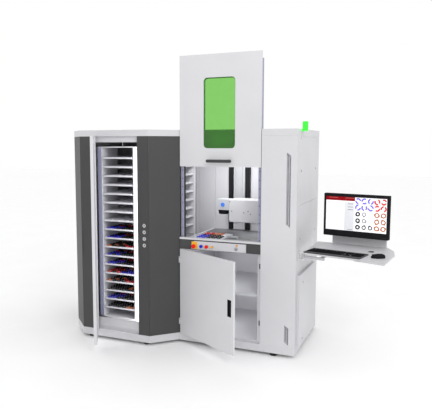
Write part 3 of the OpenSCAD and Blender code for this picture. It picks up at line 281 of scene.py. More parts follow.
# %% Metals
satin_steel = finish("satin_steel", srgb(190, 191, 194), rough=0.3, metal=1.0, texture="brushed",
                     bump=0.03)
bright_ring = finish("bright_ring", srgb(205, 206, 208), rough=0.16, metal=1.0, texture="brushed",
                     bump=0.02)
anodised = finish("anodised", srgb(198, 199, 202), rough=0.4, metal=0.35, texture="brushed",
                  bump=0.03)
black_rail = finish("black_rail", srgb(26, 26, 28), rough=0.5, texture="brushed", wander=0.1,
                    shine=0.2)
print("finishes", len(bpy.data.materials) - came_with_frame)

# %% [markdown]
# The rest is plastic and rubber. A black plastic mirrors the white sky and turns grey, so the
# black ones have a low specular level and a rough surface.

# %% Plastic and rubber
black_plastic = finish("black_plastic", srgb(34, 34, 36), rough=0.85, texture="moulded",
                       wander=0.08, shine=0.03)
grip_plastic = finish("grip_plastic", srgb(58, 58, 60), rough=0.5, texture="moulded",
                      wander=0.08, shine=0.3)
black_rubber = finish("black_rubber", srgb(40, 40, 42), rough=0.8, texture="rubbery", bump=0.15)
red_plastic = finish("red_plastic", srgb(238, 6, 12), rough=0.4, texture="moulded", shine=0.2)
blue_plastic = finish("blue_plastic", srgb(34, 36, 196), rough=0.4, texture="moulded", shine=0.2)
knob_blue = finish("knob_blue", srgb(62, 122, 228), rough=0.35, texture="moulded")
yellow_plastic = finish("yellow_plastic", srgb(244, 184, 36), rough=0.4, texture="moulded")
orange_plastic = finish("orange_plastic", srgb(226, 150, 16), rough=0.4, texture="moulded",
                        shine=0.2)
ring_black = finish("ring_black", srgb(22, 22, 24), rough=0.45, texture="moulded", wander=0.1,
                    shine=0.2)
print("finishes", len(bpy.data.materials) - came_with_frame)

# %% [markdown]
# Two things let light through. The pane in the lift door is a filter that lets only green
# pass, so it is clear coloured glass. The signal lamp is a green lens with its light behind it,
# which is made with a glow of the lens itself, since a lamp inside would light the roof too.

# %% Filter pane and signal lens
def clear(name, colour, rough, glow=0.0):
    """A clear finish, with a light of its own colour behind it if it glows."""
    mat = finish(name, colour, rough=rough, texture="moulded", wander=0.02, bump=0.01)
    shader = mat.node_tree.nodes["Principled BSDF"]
    shader.inputs["Transmission Weight"].default_value = 1.0
    shader.inputs["IOR"].default_value = 1.45
    if glow:
        shader.inputs["Emission Strength"].default_value = glow
        shader.inputs["Emission Color"].default_value = colour
    return mat


filter_pane = clear("filter_pane", srgb(130, 204, 98), 0.03)
signal_lens = clear("signal_lens", srgb(50, 240, 50), 0.2, glow=0.8)
print("clear materials ready")

# %% [markdown]
# Most solids need one finish. A few are joined from pieces of different colour, such as the
# black rails beside the silver profile. They could be cut apart, but the solids stay as they
# came, so each face chooses by where its middle lies.

# %% Dressing helper
dressed = set()


def dress(node, *choices):
    """Gives a solid its finish; later choices are (finish, test of a face's middle in mm)."""
    obj = NODES[node]
    dressed.add(node)
    obj.data.materials.clear()
    obj.data.materials.append(choices[0])
    for mat, _ in choices[1:]:
        obj.data.materials.append(mat)
    for face in obj.data.polygons:
        c = face.center
        x, y, z = (c.x - PLAN_X) * 1000, (c.y - PLAN_Y) * 1000, c.z * 1000
        face.material_index = 0
        for i, (_, test) in enumerate(choices[1:], 1):
            if test(x, y, z):
                face.material_index = i


print("solids to dress", len(NODES))

# %% [markdown]
# Solids that are one colour all over are listed by their finish. Some of them are only stand-ins
# for pieces that are drawn finer below, and their finish is what shows until then.

# %% Solids of one finish
for names, mat in (
    (("plinth", "top_caps", "cabinet_front_panel", "cabinet_walls", "access_covers"), light_coat),
    (("lift_door", "magazine_door", "lower_door", "header_panels", "side_brackets"), door_coat),
    (("partition_panels", "rear_panels", "cupboard_shelf", "turntable", "laser_housing",
      "control_panel"), inner_coat),
    (("magazine_panels", "fascia"), dark_coat),
    (("lift_guides", "door_runners"), guide_coat),
    (("console_tray", "console_arm"), console_coat),
    (("lift_cylinder", "tray_gripper"), anodised),
    (("work_table",), table_coat),
    (("hinges", "quarter_turn_locks", "key_switch", "magazine_button_1", "magazine_button_2",
      "magazine_button_3", "magazine_button_4"), satin_steel),
    (("carousel_drive", "cabinet_equipment"), cast_grey),
    (("z_carriage", "ftheta_lens", "recessed_pull", "monitor", "keyboard", "mouse"), black_plastic),
    (("rack_trays", "work_tray"), tray_coat),
    (("workpieces", "work_rings"), ring_black),
    (("vent_grilles",), grille_coat),
    (("estop_plate", "yellow_button"), yellow_plastic),
    (("estop_button", "red_button"), red_plastic),
    (("blue_button",), blue_plastic),
    (("door_handle",), grip_plastic),
    (("signal_lamp",), signal_lens),
):
    for node in names:
        dress(node, mat)
print("dressed so far", len(dressed))

# %% [markdown]
# The others change colour along a line that is easy to name. The column is coated above its
# drive, the feet have steel stems on rubber pads, the window's frame is coated like the door,
# the scan head carries a blue disc, the rails stand left and right of their profile, a pilot
# lamp sits among the button rings, the jambs hold black catches, and the rack wall is bluish
# where it is pierced.

# %% Solids of two finishes
dress("carousel_column", cast_grey, (door_coat, lambda x, y, z: z > 1760))
dress("levelling_feet", black_rubber, (satin_steel, lambda x, y, z: z > 16))
dress("door_window", filter_pane, (door_coat, lambda x, y, z: y > 19))
dress("scan_head", scan_coat, (knob_blue, lambda x, y, z: y < 361.5))
dress("z_axis", anodised, (black_rail, lambda x, y, z: x < -552 or x > -420))
dress("button_bezels", bright_ring, (orange_plastic, lambda x, y, z: z > 936 and x > -230))
dress("cupboard_jambs", light_coat, (black_plastic, lambda x, y, z: y < 20.9))
dress("rack_walls", inner_coat, (pierced_coat, lambda x, y, z: x < -1493.5 and y < -128))
print("dressed in all", len(dressed), "left over", sorted(set(NODES) - dressed))

# %% [markdown]
# Everything that is added below is drawn in the same millimetres. A `Shape` collects points and
# faces: `loft` joins closed loops into a skin, `turned` spins a profile about the z axis, `slab`
# makes a block with softened edges, and `put` copies one shape into another. `make` turns the
# result into a mesh that rides on one body of the machine. Modifiers could do much of this, but
# plain points give the same mesh on every run and can be copied a thousand times.

# %% Shape builder
class Shape:
    """Points in drawing millimetres and faces, each with the number of its finish."""

    def __init__(self):
        self.points, self.faces, self.marks = [], [], []

    def face(self, corners, mark=0):
        """One face; the mark is the number of its finish."""
        self.faces.append(tuple(corners))
        self.marks.append(mark)

    def loft(self, loops, mark=0, low=True, high=True):
        """A skin through loops of as many points each, closed at the first and the last."""
        start, n = len(self.points), len(loops[0])
        for loop in loops:
            self.points += [Vector(p) for p in loop]
        for k in range(len(loops) - 1):
            a, b = start + k * n, start + (k + 1) * n
            for i in range(n):
                self.face((a + i, a + (i + 1) % n, b + (i + 1) % n, b + i), mark)
        if low:
            self.face(range(start + n - 1, start - 1, -1), mark)
        if high:
            self.face(range(len(self.points) - n, len(self.points)), mark)
        return self

    def turned(self, profile, segments=24, mark=0, closed=False):
        """Spins (radius, height) points about z; a closed profile makes a hollow ring."""
        turns = [math.tau * i / segments for i in range(segments)]
        loops = [[(r * math.cos(t), r * math.sin(t), z) for t in turns] for r, z in profile]
        if closed:
            loops.append(loops[0])
        return self.loft(loops, mark, not closed, not closed)

    def slab(self, low, high, edge=1.0, radius=None, mark=0, steps=3):
        """A block with softened top and bottom edges and rounded corners in plan."""
        (x0, y0, z0), (x1, y1, z1) = low, high
        radius = edge * 1.5 if radius is None else radius

        def ring(inset, z):
            r = max(radius - inset, 0.05)
            loop = []
            left, right = x0 + inset + r, x1 - inset - r
            front, back = y0 + inset + r, y1 - inset - r
            corners = ((right, front, -90), (right, back, 0), (left, back, 90), (left, front, 180))
            for cx, cy, turn in corners:
                for i in range(steps + 1):
                    a = math.radians(turn + 90 * i / steps)
                    loop.append((cx + r * math.cos(a), cy + r * math.sin(a), z))
            return loop

        loops = [ring(edge, z0), ring(0, z0 + edge), ring(0, z1 - edge), ring(edge, z1)]
        return self.loft(loops, mark)

    def put(self, other, matrix, mark=None):
        """Copies another shape in, moved by a matrix, and with a new mark if one is given."""
        start = len(self.points)
        self.points += [matrix @ p for p in other.points]
        self.faces += [tuple(i + start for i in f) for f in other.faces]
        self.marks += list(other.marks) if mark is None else [mark] * len(other.marks)
        return self

    def make(self, name, body, *finishes, smooth=30, instead=None):
        """Makes the mesh, rides it on a body, and hides the solid that it is drawn instead of."""
        mesh = bpy.data.meshes.new(name)
        mesh.from_pydata([at(*p) for p in self.points], [], self.faces)
        for mat in finishes:
            mesh.materials.append(mat)
        mesh.polygons.foreach_set("material_index", self.marks)
        bm = bmesh.new()
        bm.from_mesh(mesh)
        bmesh.ops.remove_doubles(bm, verts=bm.verts, dist=1e-6)
        bmesh.ops.recalc_face_normals(bm, faces=bm.faces)
        bm.to_mesh(mesh)
        bm.free()
        mesh.shade_smooth()
        mesh.set_sharp_from_angle(angle=math.radians(smooth))
        obj = bpy.data.objects.new(name, mesh)
        scene.collection.objects.link(obj)
        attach(obj, body)
        if instead:
            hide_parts(instead)
        mesh.calc_loop_triangles()
        print(name, "on", body, len(mesh.loop_triangles), "triangles")


print("builder ready")

# %% [markdown]
# A shape is drawn lying at the origin and then shifted and turned to its place. The four turns
# that are needed again and again have names.

# %% Shifts and turns
def move(x, y, z):
    """A shift in drawing millimetres."""
    return Matrix.Translation((x, y, z))


HERE = Matrix.Identity(4)
FRONT, BACK = Matrix.Rotation(math.radians(90), 4, "X"), Matrix.Rotation(math.radians(-90), 4, "X")
RIGHT = Matrix.Rotation(math.radians(90), 4, "Y")
print("up becomes", [round(v) for v in FRONT @ Vector((0, 0, 1))], "at the front")

# %% [markdown]
# A nest tray is a pressed pan with cut corners: a rolled rim, a stiffening step in its
# underside, a pull on its front edge, and a peg for every ring. Its section is the same all
# round, so it is a loft of eight-cornered loops. It is drawn once, flat around its own middle.

# %% Nest tray
TRAY_W, TRAY_L, CORNER, PITCH = 324, 282, 14, 50


def octagon(inset, z):
    """The tray's outline with its cut corners, drawn in by an inset, at a height."""
    a, b, c = TRAY_W / 2 - inset, TRAY_L / 2 - inset, CORNER - inset * 0.59
    return [(-a + c, -b, z), (a - c, -b, z), (a, -b + c, z), (a, b - c, z),
            (a - c, b, z), (-a + c, b, z), (-a, b - c, z), (-a, -b + c, z)]


PAN = [(9, -4), (8, -7), (1, -7), (0, -6), (0, 6.4), (0.6, 7), (4.4, 7), (5, 6.2), (6, 2)]
tray = Shape().loft([octagon(inset, z) for inset, z in PAN])
peg = Shape().turned([(11.4, 2), (11.4, 7.6), (10, 8.8)], 8)
for i in range(6):
    for j in range(5):
        tray.put(peg, move((i - 2.5) * PITCH, (j - 2) * PITCH, 0))
tray.slab((-34, -141.4, -5.6), (34, -139.6, 5.2), 0.5)
print("tray", TRAY_W, "by", TRAY_L, "mm with 30 pegs,", len(tray.faces), "faces")

# %% [markdown]
# The tray is copied to the four racks of the carousel, which turn together and so are one mesh.
# Two places at the work level stay free: that of the tray in the bay and that of the rack that
# comes next. One more copy is the bay's tray, which slides alone.

# %% Trays in the racks and in the bay
AXIS, REACH = (-1327, 350), 339.5
LEVELS, WORK_LEVEL, LOWEST, STEP = 18, 8, 291.1, 82.7
IN_BAY = (-572, 350, 952.7)


def level(k):
    """The height of the tray's middle in place k of a rack."""
    return LOWEST + STEP * k


racks = Shape()
for side in range(4):
    turn = move(*AXIS, 0) @ Matrix.Rotation(math.radians(90 * side), 4, "Z")
    for k in range(LEVELS):
        if k != WORK_LEVEL or side in (0, 3):
            racks.put(tray, turn @ move(0, -REACH, level(k)))
racks.make("nest_trays", "carousel", tray_coat, instead="rack_trays")

bay_tray = move(*IN_BAY) @ Matrix.Rotation(math.radians(90), 4, "Z")
Shape().put(tray, bay_tray).make("bay_nest_tray", "tray_shuttle", tray_coat, instead="work_tray")

# %% [markdown]
# The workpieces are moulded rings with a rounded lip and three small lugs. A ring is turned from
# its section, and the lugs are small blocks set on its top.

# %% Moulded ring
SECTION = [(12.4, 2.3), (19.2, 2.3), (20.3, 3.4), (20.3, 9.2), (18.8, 11.2), (14.6, 11.2),
           (12.4, 9.6)]
ring = Shape().turned(SECTION, 18, closed=True)
lug = Shape().slab((13.6, -2.6, 10.8), (19.4, 2.6, 13.4), 0.6, steps=1)
for i in range(3):
    ring.put(lug, Matrix.Rotation(math.tau * i / 3 + 0.4, 4, "Z"))
COLOURS = {
    "black": ring_black,
    "blue": finish("ring_blue", srgb(36, 36, 196), rough=0.4, texture="moulded", wander=0.06,
                   shine=0.3),
    "red": finish("ring_red", srgb(196, 26, 26), rough=0.4, texture="moulded", wander=0.06,
                  shine=0.3),
    "orange": finish("ring_orange", srgb(214, 118, 62), rough=0.35, texture="moulded", wander=0.06),
    # The pale rings' near-white is partly their own colour and partly a painted highlight.
    "white": finish("ring_white_highlight", srgb(226, 234, 238), rough=0.25, texture="moulded"),
}
print("ring", len(ring.faces), "faces, in", ", ".join(COLOURS))

# %% [markdown]
# The front rack is loaded up to the work level and one place above it, and each of its trays
# has its own pattern: blue at the left, black in the middle, red at the back, or orange and red
# at the right. A rule in whole numbers picks each colour and twist, so the load looks mixed but
# is the same on every run. Each colour becomes one mesh.

# %% Rings in the front rack
def colour_of(k, i, j):
    """The colour of the ring in column i and row j of the front tray on level k."""
    odd = (3 * i + 5 * j + 7 * k) % 4
    if k in (9, 8, 6, 5, 1):
        if i < 3 and j < 3 and odd != 1:
            return "blue"
        return "red" if j > 2 and (i > 2 or odd == 1) else "black"
    if k in (7, 3):
        if j < 2 and i > 2:
            return "red" if odd != 2 else "black"
        return "orange" if j < 3 and odd == 1 else "black"
    if k == 4:
        if j < 3:
            return "red" if i < 3 and odd != 3 else "blue" if i > 2 and odd != 2 else "black"
        return "orange" if odd == 0 else "black"
    return "orange" if i > 3 and j < 3 and odd in (0, 3) else "black"


LOADED = WORK_LEVEL + 2
loose = {c: Shape() for c in COLOURS}
for k in range(LOADED):
    for i in range(6):
        for j in range(5):
            x, y = AXIS[0] + (i - 2.5) * PITCH, AXIS[1] - REACH + (j - 2) * PITCH
            twist = Matrix.Rotation(0.7 * ((i * 5 + j * 3 + k) % 9), 4, "Z")
            loose[colour_of(k, i, j)].put(ring, move(x, y, level(k)) @ twist)
for name, shape in loose.items():
    if shape.points:
        shape.make("rings_" + name, "carousel", COLOURS[name], smooth=40, instead="workpieces")

# %% [markdown]
# The tray in the bay is full. Blue rings lie at the left, black ones in front, red and orange
# ones behind, and pale ones at the right-hand back corner, whose near-white is partly their own
# colour and partly a painted highlight of the light on that corner. They ride with the tray that
# slides, so they are meshes of their own and not part of the rack's.

# %% Rings in the bay
on_bay_tray = {c: Shape() for c in COLOURS}
for i in range(5):
    for j in range(6):
        # The pale rings at the right-hand back corner are partly a painted highlight.
        if j < 4:
            name = "blue" if i < 2 and j < 3 else "white" if i == 4 and j == 3 else "black"
        else:
            name = ("red", "red", "orange", "orange", "white")[i]
        place = move(IN_BAY[0] + (i - 2) * PITCH, IN_BAY[1] + (j - 2.5) * PITCH, IN_BAY[2])
        on_bay_tray[name].put(ring, place @ Matrix.Rotation(0.9 * ((i * 4 + j) % 7), 4, "Z"))
for name, shape in on_bay_tray.items():
    shape.make("bay_rings_" + name, "tray_shuttle", COLOURS[name], smooth=40, instead="work_rings")

# %% [markdown]
# The laser head is a folded sheet cover over the resonator, lower at the back where its cooling
# slots are, and it hangs on a plate with four shoes that run on the two rails. Both are boxes
# with softened edges, because a sharp edge would catch no light and look drawn.

# %% Laser head
cover = Shape().slab((-420, 360, 1098), (-90, 560, 1308), 3, 4)
cover.slab((-417, 552, 1101), (-93, 779.9, 1266), 3, 4)
for i in range(6):
    cover.slab((-360, 590 + i * 30, 1265.6), (-150, 602 + i * 30, 1266.6), 0.3, 4, mark=1)
cover.make("laser_cover", "laser_head", inner_coat, black_plastic, instead="laser_housing")
plate = Shape().slab((-574, 780.3, 1110), (-92, 799.7, 1274), 1.5, 6)
for x in (-596, -372):
    for z in (1120, 1212):
        plate.slab((x, 798.8, z), (x + 36, 839.7, z + 60), 1, 3)
plate.make("axis_plate", "laser_head", black_plastic, instead="z_carriage")

# %% [markdown]
# Under the scan head sits the focusing lens: a flange, a barrel with a grip groove, and a domed
# front glass. It is round, so one turned profile gives all its steps.

# %% Focusing lens
FLANGE = [(52, -0.4), (52, -10), (51, -13), (50, -13.8)]
BARREL = [(49, -22), (47.4, -22.8), (47.2, -25.2), (48.6, -26), (46.6, -39), (45.6, -41),
          (43.4, -41.6)]
MOUTH = [(41.6, -41), (37.4, -34), (36, -33.4)]
DOME = [(37, -33.6), (34, -36), (26, -38.2), (14, -39.4), (4, -39.8)]
lens_glass = clear("lens_glass", srgb(120, 170, 160), 0.03)
lens = Shape().turned(FLANGE + BARREL + MOUTH, 48).turned(DOME, 48, mark=1)
Shape().put(lens, move(-491, 414, 1208)).make(
    "focus_lens", "laser_head", black_plastic, lens_glass, instead="ftheta_lens")

# %% [markdown]
# The console stands turned by 13 degrees about its pivot, so its pieces are drawn along its own
# front edge and turned with it. Its tray is a thin plate that is wider at the mouse, with a
# frame set back under it, a grommet for the cords, and an upright for the monitor. Plate and
# frame are lofts of one outline, drawn in about its middle.

# %% Console tray
PIVOT, SWING, CONSOLE_TOP = (345, 100), -13, 920.3
console = move(*PIVOT, 0) @ Matrix.Rotation(math.radians(SWING), 4, "Z")
OUTLINE = [(30.2, -55), (500, -75), (532, -109), (726, -136), (682, 274), (622, 454), (521, 600),
           (-107.2, 540)]
MIDDLE = (300, 220)


def plan(scale, z):
    """The tray's outline at a height, drawn in or out about its centre."""
    a, b = MIDDLE
    return [(a + scale * (u - a), b + scale * (v - b), z) for u, v in OUTLINE]


panel = Shape().loft([plan(0.996, 911), plan(1, 912), plan(1, 919), plan(0.996, 920)])
panel.loft([plan(0.62, 885.5), plan(0.64, 887), plan(0.64, 911)], high=False)
panel.slab((28, 555, 920), (524, 575, 1052), 1.5, 3)
LIP = [(14.2, 919.5), (25, 919.5), (25, 921.5), (23.4, 923), (15.4, 923), (14.2, 921.8)]
grommet = Shape().turned(LIP, 32, closed=True)
grommet.turned([(14.3, 919.9), (14.3, 920.6), (3, 920.9)], 24)
panel.put(grommet, move(475, 312, 0), 1)
Shape().put(panel, console).make(
    "console_tray_plate", "console", console_coat, black_rubber, instead="console_tray")

# %% [markdown]
# The tray hangs on a swing arm: a bush on the pivot pin, a beam, and a cross-piece under the
# frame, all set back so that the tray seems to float. The bush is round and so is turned, and
# the welded square pieces are slabs that run into each other.

# %% Swing arm
BUSH = [(8.2, 858.4), (13, 858.4), (14, 859.4), (14, 900.6), (13, 901.6), (8.2, 901.6)]
arm = Shape().turned(BUSH, 32, closed=True)
arm.slab((13, -11, 863), (190, 11, 884.6), 1.5, 3)
arm.slab((150, -9, 877), (178, 190, 885.4), 1, 3)
arm.slab((110, 130, 877), (420, 250, 885.4), 1, 6)
Shape().put(arm, console).make(
    "console_swing_arm", "console", console_coat, instead="console_arm")

# %% [markdown]
# The keyboard has real caps: each tapers, and its top leans back a little. A bump could draw the
# gaps, but the caps stand out against the light and need a shape.

# %% Key cap
UNIT, GAP = 20.2, 0.8


def cap(u, v, w=1, d=1):
    """One key cap from u, v, in key units, with its top drawn in."""
    x0, y0 = u * UNIT + GAP, v * UNIT + GAP
    x1, y1 = (u + w) * UNIT - GAP, (v + d) * UNIT - GAP

    def ring_at(side, back, z):
        left, right, near, far = x0 + side, x1 - side, y0 + side, y1 - back
        return [(left, near, z), (right, near, z), (right, far, z), (left, far, z)]

    rings = [ring_at(0, 0, 6), ring_at(1.6, 1.2, 12.4), ring_at(2.6, 2.2, 13.2)]
    return Shape().loft(rings, low=False)


print("cap", round(UNIT - 2 * GAP, 1), "mm square at its foot,", len(cap(0, 0).faces), "faces")

# %% [markdown]
# The rows follow the usual full-size layout with a main field, a cursor field, a number field
# and a row of function keys. A row is a list of key widths, so the layout can be read off it.

# %% Key layout
ROWS = [
    [1.25, 1.25, 1.25, 6.25, 1.25, 1.25, 1.25, 1.25],
    [1.25] + [1] * 11 + [2.75],
    [1.75] + [1] * 11 + [2.25],
    [1.5] + [1] * 12 + [1.5],
    [1] * 13 + [2],
]
spots = []
for v, row in enumerate(ROWS):
    u = 0
    for w in row:
        spots.append((u, v, w))
        u += w
spots += [(u, v) for u in (15.45, 16.45, 17.45) for v in (0, 3, 4)] + [(16.45, 1)]
spots += [(18.9, 0, 2), (20.9, 0), (21.9, 0, 1, 2), (21.9, 2, 1, 2), (21.9, 4)]
spots += [(18.9 + i, v) for i in range(3) for v in (1, 2, 3, 4)]
for start, count in ((0, 1), (2, 4), (6.5, 4), (11, 4), (15.45, 3), (18.9, 4)):
    spots += [(start + i, 5.3, 1, 0.85) for i in range(count)]
print("keys", len(spots))

# %% [markdown]
# The caps stand on a flat board with a raised bar along its back edge. Board and caps are one
# mesh with two finishes, since no key moves on its own.

# %% Keyboard
key_bed = finish("key_bed", srgb(74, 74, 77), rough=0.6, texture="moulded", wander=0.06, shine=0.2)
key_plastic = finish("key_plastic", srgb(24, 24, 26), rough=0.85, texture="moulded", wander=0.1,
                     shine=0.03)
board = Shape().slab((0, 0, 0), (486, 215, 7.5), 2.0, 8, steps=4)
board.slab((6, 188, 7), (480, 211, 9.5), 1.0, 4)
keys = Shape()
for spot in spots:
    keys.put(cap(*spot), HERE)
board.put(keys, move(12, 44, 0), 1)
Shape().put(board, console @ move(20, -48, CONSOLE_TOP)).make(
    "keyboard_with_caps", "console", key_bed, key_plastic, instead="keyboard")

# %% [markdown]
# The buttons of the control panel are pressed every day, so their caps are moulded shapes: a
# mushroom head for the emergency stop, two dished round caps, and an oval one. Each cap moves
# with its own button.

# %% Caps of the control panel
BUTTON_Z = 918.2
ROUND = {
    "estop": (-610, -14.3, red_plastic, [
        (8, -14), (8, 12), (14, 16), (17.4, 20), (18.8, 23.6), (19, 26), (18.7, 28.4), (17.4, 30.6),
        (14.8, 31.9), (9, 32.7), (3, 33)]),
    "blue": (-545, -20.3, blue_plastic, [
        (8, -18), (8, 0), (13.9, 0), (14.5, 0.7), (14.5, 5.4), (14, 6.6), (12.8, 7), (11.4, 6.8),
        (7, 6.2), (2, 6)]),
    "red": (-493, -20.3, red_plastic, [
        (8, -18), (8, 0), (14.9, 0), (15.5, 0.7), (15.5, 7.4), (15, 8.6), (13.8, 9), (12.2, 8.8),
        (7.5, 8.2), (2, 8)]),
}
for name, (x, y, mat, profile) in ROUND.items():
    Shape().put(Shape().turned(profile, 40), move(x, y, BUTTON_Z) @ FRONT).make(
        name + "_cap", name, mat, smooth=35, instead=name + "_button")
oval = Shape().slab((-12, -9, 0.2), (12, 9, 5), 0.9, 8, steps=8).turned([(8, -18), (8, 0.4)], 32)
Shape().put(oval, move(-443, -19.3, BUTTON_Z) @ FRONT).make(
    "yellow_cap", "yellow", yellow_plastic, smooth=35, instead="yellow_button")

# %% [markdown]
# The four buttons in the column on the magazine are steel with a dark middle. One cap is drawn
# and placed four times, but each copy is a mesh of its own, because each button moves alone.

# %% Caps of the magazine
STEEL = [(12.6, 0), (12.6, 20.9), (12.2, 21.7), (11.2, 22), (6.6, 21.7), (5.6, 20.8), (5.2, 20)]
MIDDLE_DISC = [(5.3, 19.6), (5.3, 20.5), (2, 20.2)]
LOWEST_CAP, CAP_STEP = 924, 59.3
dial = Shape().turned(STEEL, 36).turned(MIDDLE_DISC, 36, mark=1)
for i in range(4):
    Shape().put(dial, move(-1015, -185, LOWEST_CAP + CAP_STEP * i) @ FRONT).make(
        f"magazine_cap_{i + 1}", f"mag_button_{i + 1}", bright_ring, black_plastic, smooth=35,
        instead=f"magazine_button_{i + 1}")

# %% [markdown]
# The mouse is lofted from ovals that lean back towards the palm, with a wheel that stands in
# a slot between the two buttons. It could be sculpted, but seven ovals already give its back
# the one curve that shows at this size.

# %% Mouse
TURNS = [math.tau * i / 32 for i in range(32)]
LAYERS = ((0, 55, 33, 0), (2, 57, 35, 0), (10, 57, 35, 0), (20, 52, 31, 3), (27, 43, 25, 6),
          (31.5, 29, 16, 9), (33, 12, 6, 11))
mouse = Shape().loft([[(shift + a * math.cos(t), b * math.sin(t), z) for t in TURNS]
                      for z, a, b, shift in LAYERS])
mouse.slab((-50, -0.6, 14), (-8, 0.6, 30.6), 0.2, 0.3, mark=1, steps=1)
TYRE = [(5, -3.6), (8.6, -3.2), (9.4, -1.6), (9.4, 1.6), (8.6, 3.2), (5, 3.6)]
mouse.put(Shape().turned(TYRE, 20, mark=1, closed=True), move(-27, 0, 22) @ FRONT)
place = console @ move(604, 95, CONSOLE_TOP) @ Matrix.Rotation(math.radians(35), 4, "Z")
Shape().put(mouse, place).make(
    "mouse_shell", "console", black_plastic, black_rubber, smooth=50, instead="mouse")

# %% [markdown]
# A screen lights itself. Its white and pale fields glow more than its lines, or the picture
# would look printed. An image texture would be usual here, but flat tiles in a few tones stay
# sharp from any distance. Each tone is a finish, and one mesh holds all the tiles of a tone.

# %% Screen tones
TONES = {
    "white": (236, 236, 238), "pale": (206, 207, 211), "mid": (150, 150, 156),
    "ink": (40, 41, 44), "header": (150, 8, 20), "rose": (196, 92, 92),
    "violet": (132, 116, 230), "red": (226, 44, 44), "orange": (190, 116, 78),
}
FIELD_GLOW, LINE_GLOW = 0.5, 0.12
SCREEN = {}
for name, tone in TONES.items():
    SCREEN[name] = finish("screen_" + name, srgb(*tone), rough=0.5, texture="moulded",
                          wander=0.01, bump=0.0, shine=0.1,
                          glow=FIELD_GLOW if name in ("white", "pale") else LINE_GLOW)
print("screen tones", list(SCREEN))

# %% [markdown]
# The screen sits in the monitor's recess. Its picture is made of thin tiles and flat bows that
# are placed by fractions of the screen, so that a tile near its edge stays there if the screen
# gets another size. All tiles of one tone gather in one shape.

# %% Tiles and bows
SCREEN_U, SCREEN_Z, SCREEN_W, SCREEN_H = -9, 1056, 550, 301
GLASS, BOW_LIFT = 482.9, 0.5
picture = {}


def tile(name, x0, z0, x1, z1, lift):
    """A tile of the picture, placed by fractions of the screen's width and height."""
    u = [SCREEN_U + SCREEN_W * f for f in (x0, x1)]
    z = [SCREEN_Z + SCREEN_H * f for f in (z0, z1)]
    shape = picture.setdefault(name, Shape())
    shape.slab((u[0], GLASS - lift, z[0]), (u[1], GLASS, z[1]), 0.05, 0.1, steps=1)


def arc(name, cx, cz, radius, width, start, end):
    """A flat bow about a point of the screen, all in fractions of the screen's height."""
    u, z = SCREEN_U + SCREEN_W * cx, SCREEN_Z + SCREEN_H * cz
    shape = picture.setdefault(name, Shape())
    n = max(3, round(abs(end - start) / 20))
    turns = [math.radians(start + (end - start) * i / n) for i in range(n + 1)]
    outer, inner = SCREEN_H * (radius + width / 2), SCREEN_H * (radius - width / 2)
    rim = [(outer, t) for t in turns] + [(inner, t) for t in turns[::-1]]
    loop = [(u + r * math.cos(t), z + r * math.sin(t)) for r, t in rim]
    skin = [[(a, depth, b) for a, b in loop] for depth in (GLASS, GLASS - BOW_LIFT)]
    shape.loft(skin, high=False, low=False)
    a, b = len(shape.points) - len(loop), len(shape.points) - 1
    for i in range(n):
        shape.face((a + i, a + i + 1, b - i - 1, b - i))


print("screen", SCREEN_W, "by", SCREEN_H, "mm")

# %% [markdown]
# The picture: a white ground, a dark red header over the left half, a grey column with bars, and
# a field of ring icons in the workpieces' colours, with thin lines between its rows and columns.
# Nothing on it is a word.

# %% Picture
FIELD, COLUMN, ROW, FOOT = 0.487, 0.1026, 0.193, 0.03
tile("white", 0, 0, 1, 1, 0.1)
tile("header", 0, 0.885, FIELD, 1.0, 0.3)
tile("rose", 0.05, 0.96, 0.2, 0.98, 0.4)
tile("rose", 0.33, 0.96, 0.47, 0.98, 0.4)
tile("pale", 0.315, 0, 0.475, 0.855, 0.2)
tile("pale", 0.0, 0.79, 0.315, 0.8, 0.3)
tile("mid", 0.03, 0.81, 0.07, 0.825, 0.3)
for z in (0.79, 0.7, 0.62, 0.03):
    tile("mid", 0.37, z, 0.455, z + 0.018, 0.3)
for i in range(1, 5):
    x, z = FIELD + i * COLUMN, i * ROW + FOOT
    tile("mid", x - 0.0014, 0.61, x + 0.0014, 1, 0.3)
    tile("pale", x - 0.001, 0, x + 0.001, 0.61, 0.3)
    tile(("pale", "pale", "mid", "ink")[i - 1], FIELD, z - 0.003, 1, z + 0.003, 0.3)
for i in range(5):
    for j in range(5):
        cx, cz, tilt = FIELD + (i + 0.5) * COLUMN, FOOT + (4.5 - j) * ROW, 50 * i + 80 * j
        if j < 2:
            name = "violet" if i < 3 else "red"
            arc(name, cx, cz, 0.066, 0.044, tilt, tilt + 140)
            arc(name, cx, cz, 0.066, 0.044, tilt + 175, tilt + 280)
        elif i > 2:
            arc("orange", cx, cz, 0.058, 0.034, tilt, tilt + 360)
            arc("orange", cx, cz, 0.079, 0.014, tilt + 20, tilt + 60)
            arc("orange", cx, cz, 0.079, 0.014, tilt + 200, tilt + 240)
        else:
            name = "ink" if i == 0 or j == 4 else "mid" if i == 1 else "pale"
            arc(name, cx, cz, 0.05, 0.04 if i == 0 else 0.026, tilt, tilt + 360)
            arc(name, cx, cz, 0.072, 0.014, tilt + 30, tilt + 80)
print("tones used", list(picture))

# %% [markdown]
# The tiles were drawn along the console's own edge, so they are turned with it, tone by tone.

# %% Screen
for name, shape in picture.items():
    Shape().put(shape, console).make("screen_" + name, "console", SCREEN[name])

# %% [markdown]
# Five small keys stand in a row at the lower right of the monitor's frame. They catch a little
# light there, which no bump in the frame's finish would do.

# %% Monitor keys
bar = Shape()
for i in range(5):
    bar.slab((500 + i * 9, 480.2, 1016), (504 + i * 9, 481.2, 1019), 0.3, steps=1)
Shape().put(bar, console).make("monitor_keys", "console", grip_plastic)

# %% [markdown]
# Covers are held by button-head screws with a hexagon socket. A screw is drawn once, standing on
# the z axis, and then copied and turned to the face it sits on. At this size the head's round
# profile is what the eye finds, so the socket is a plain round recess.

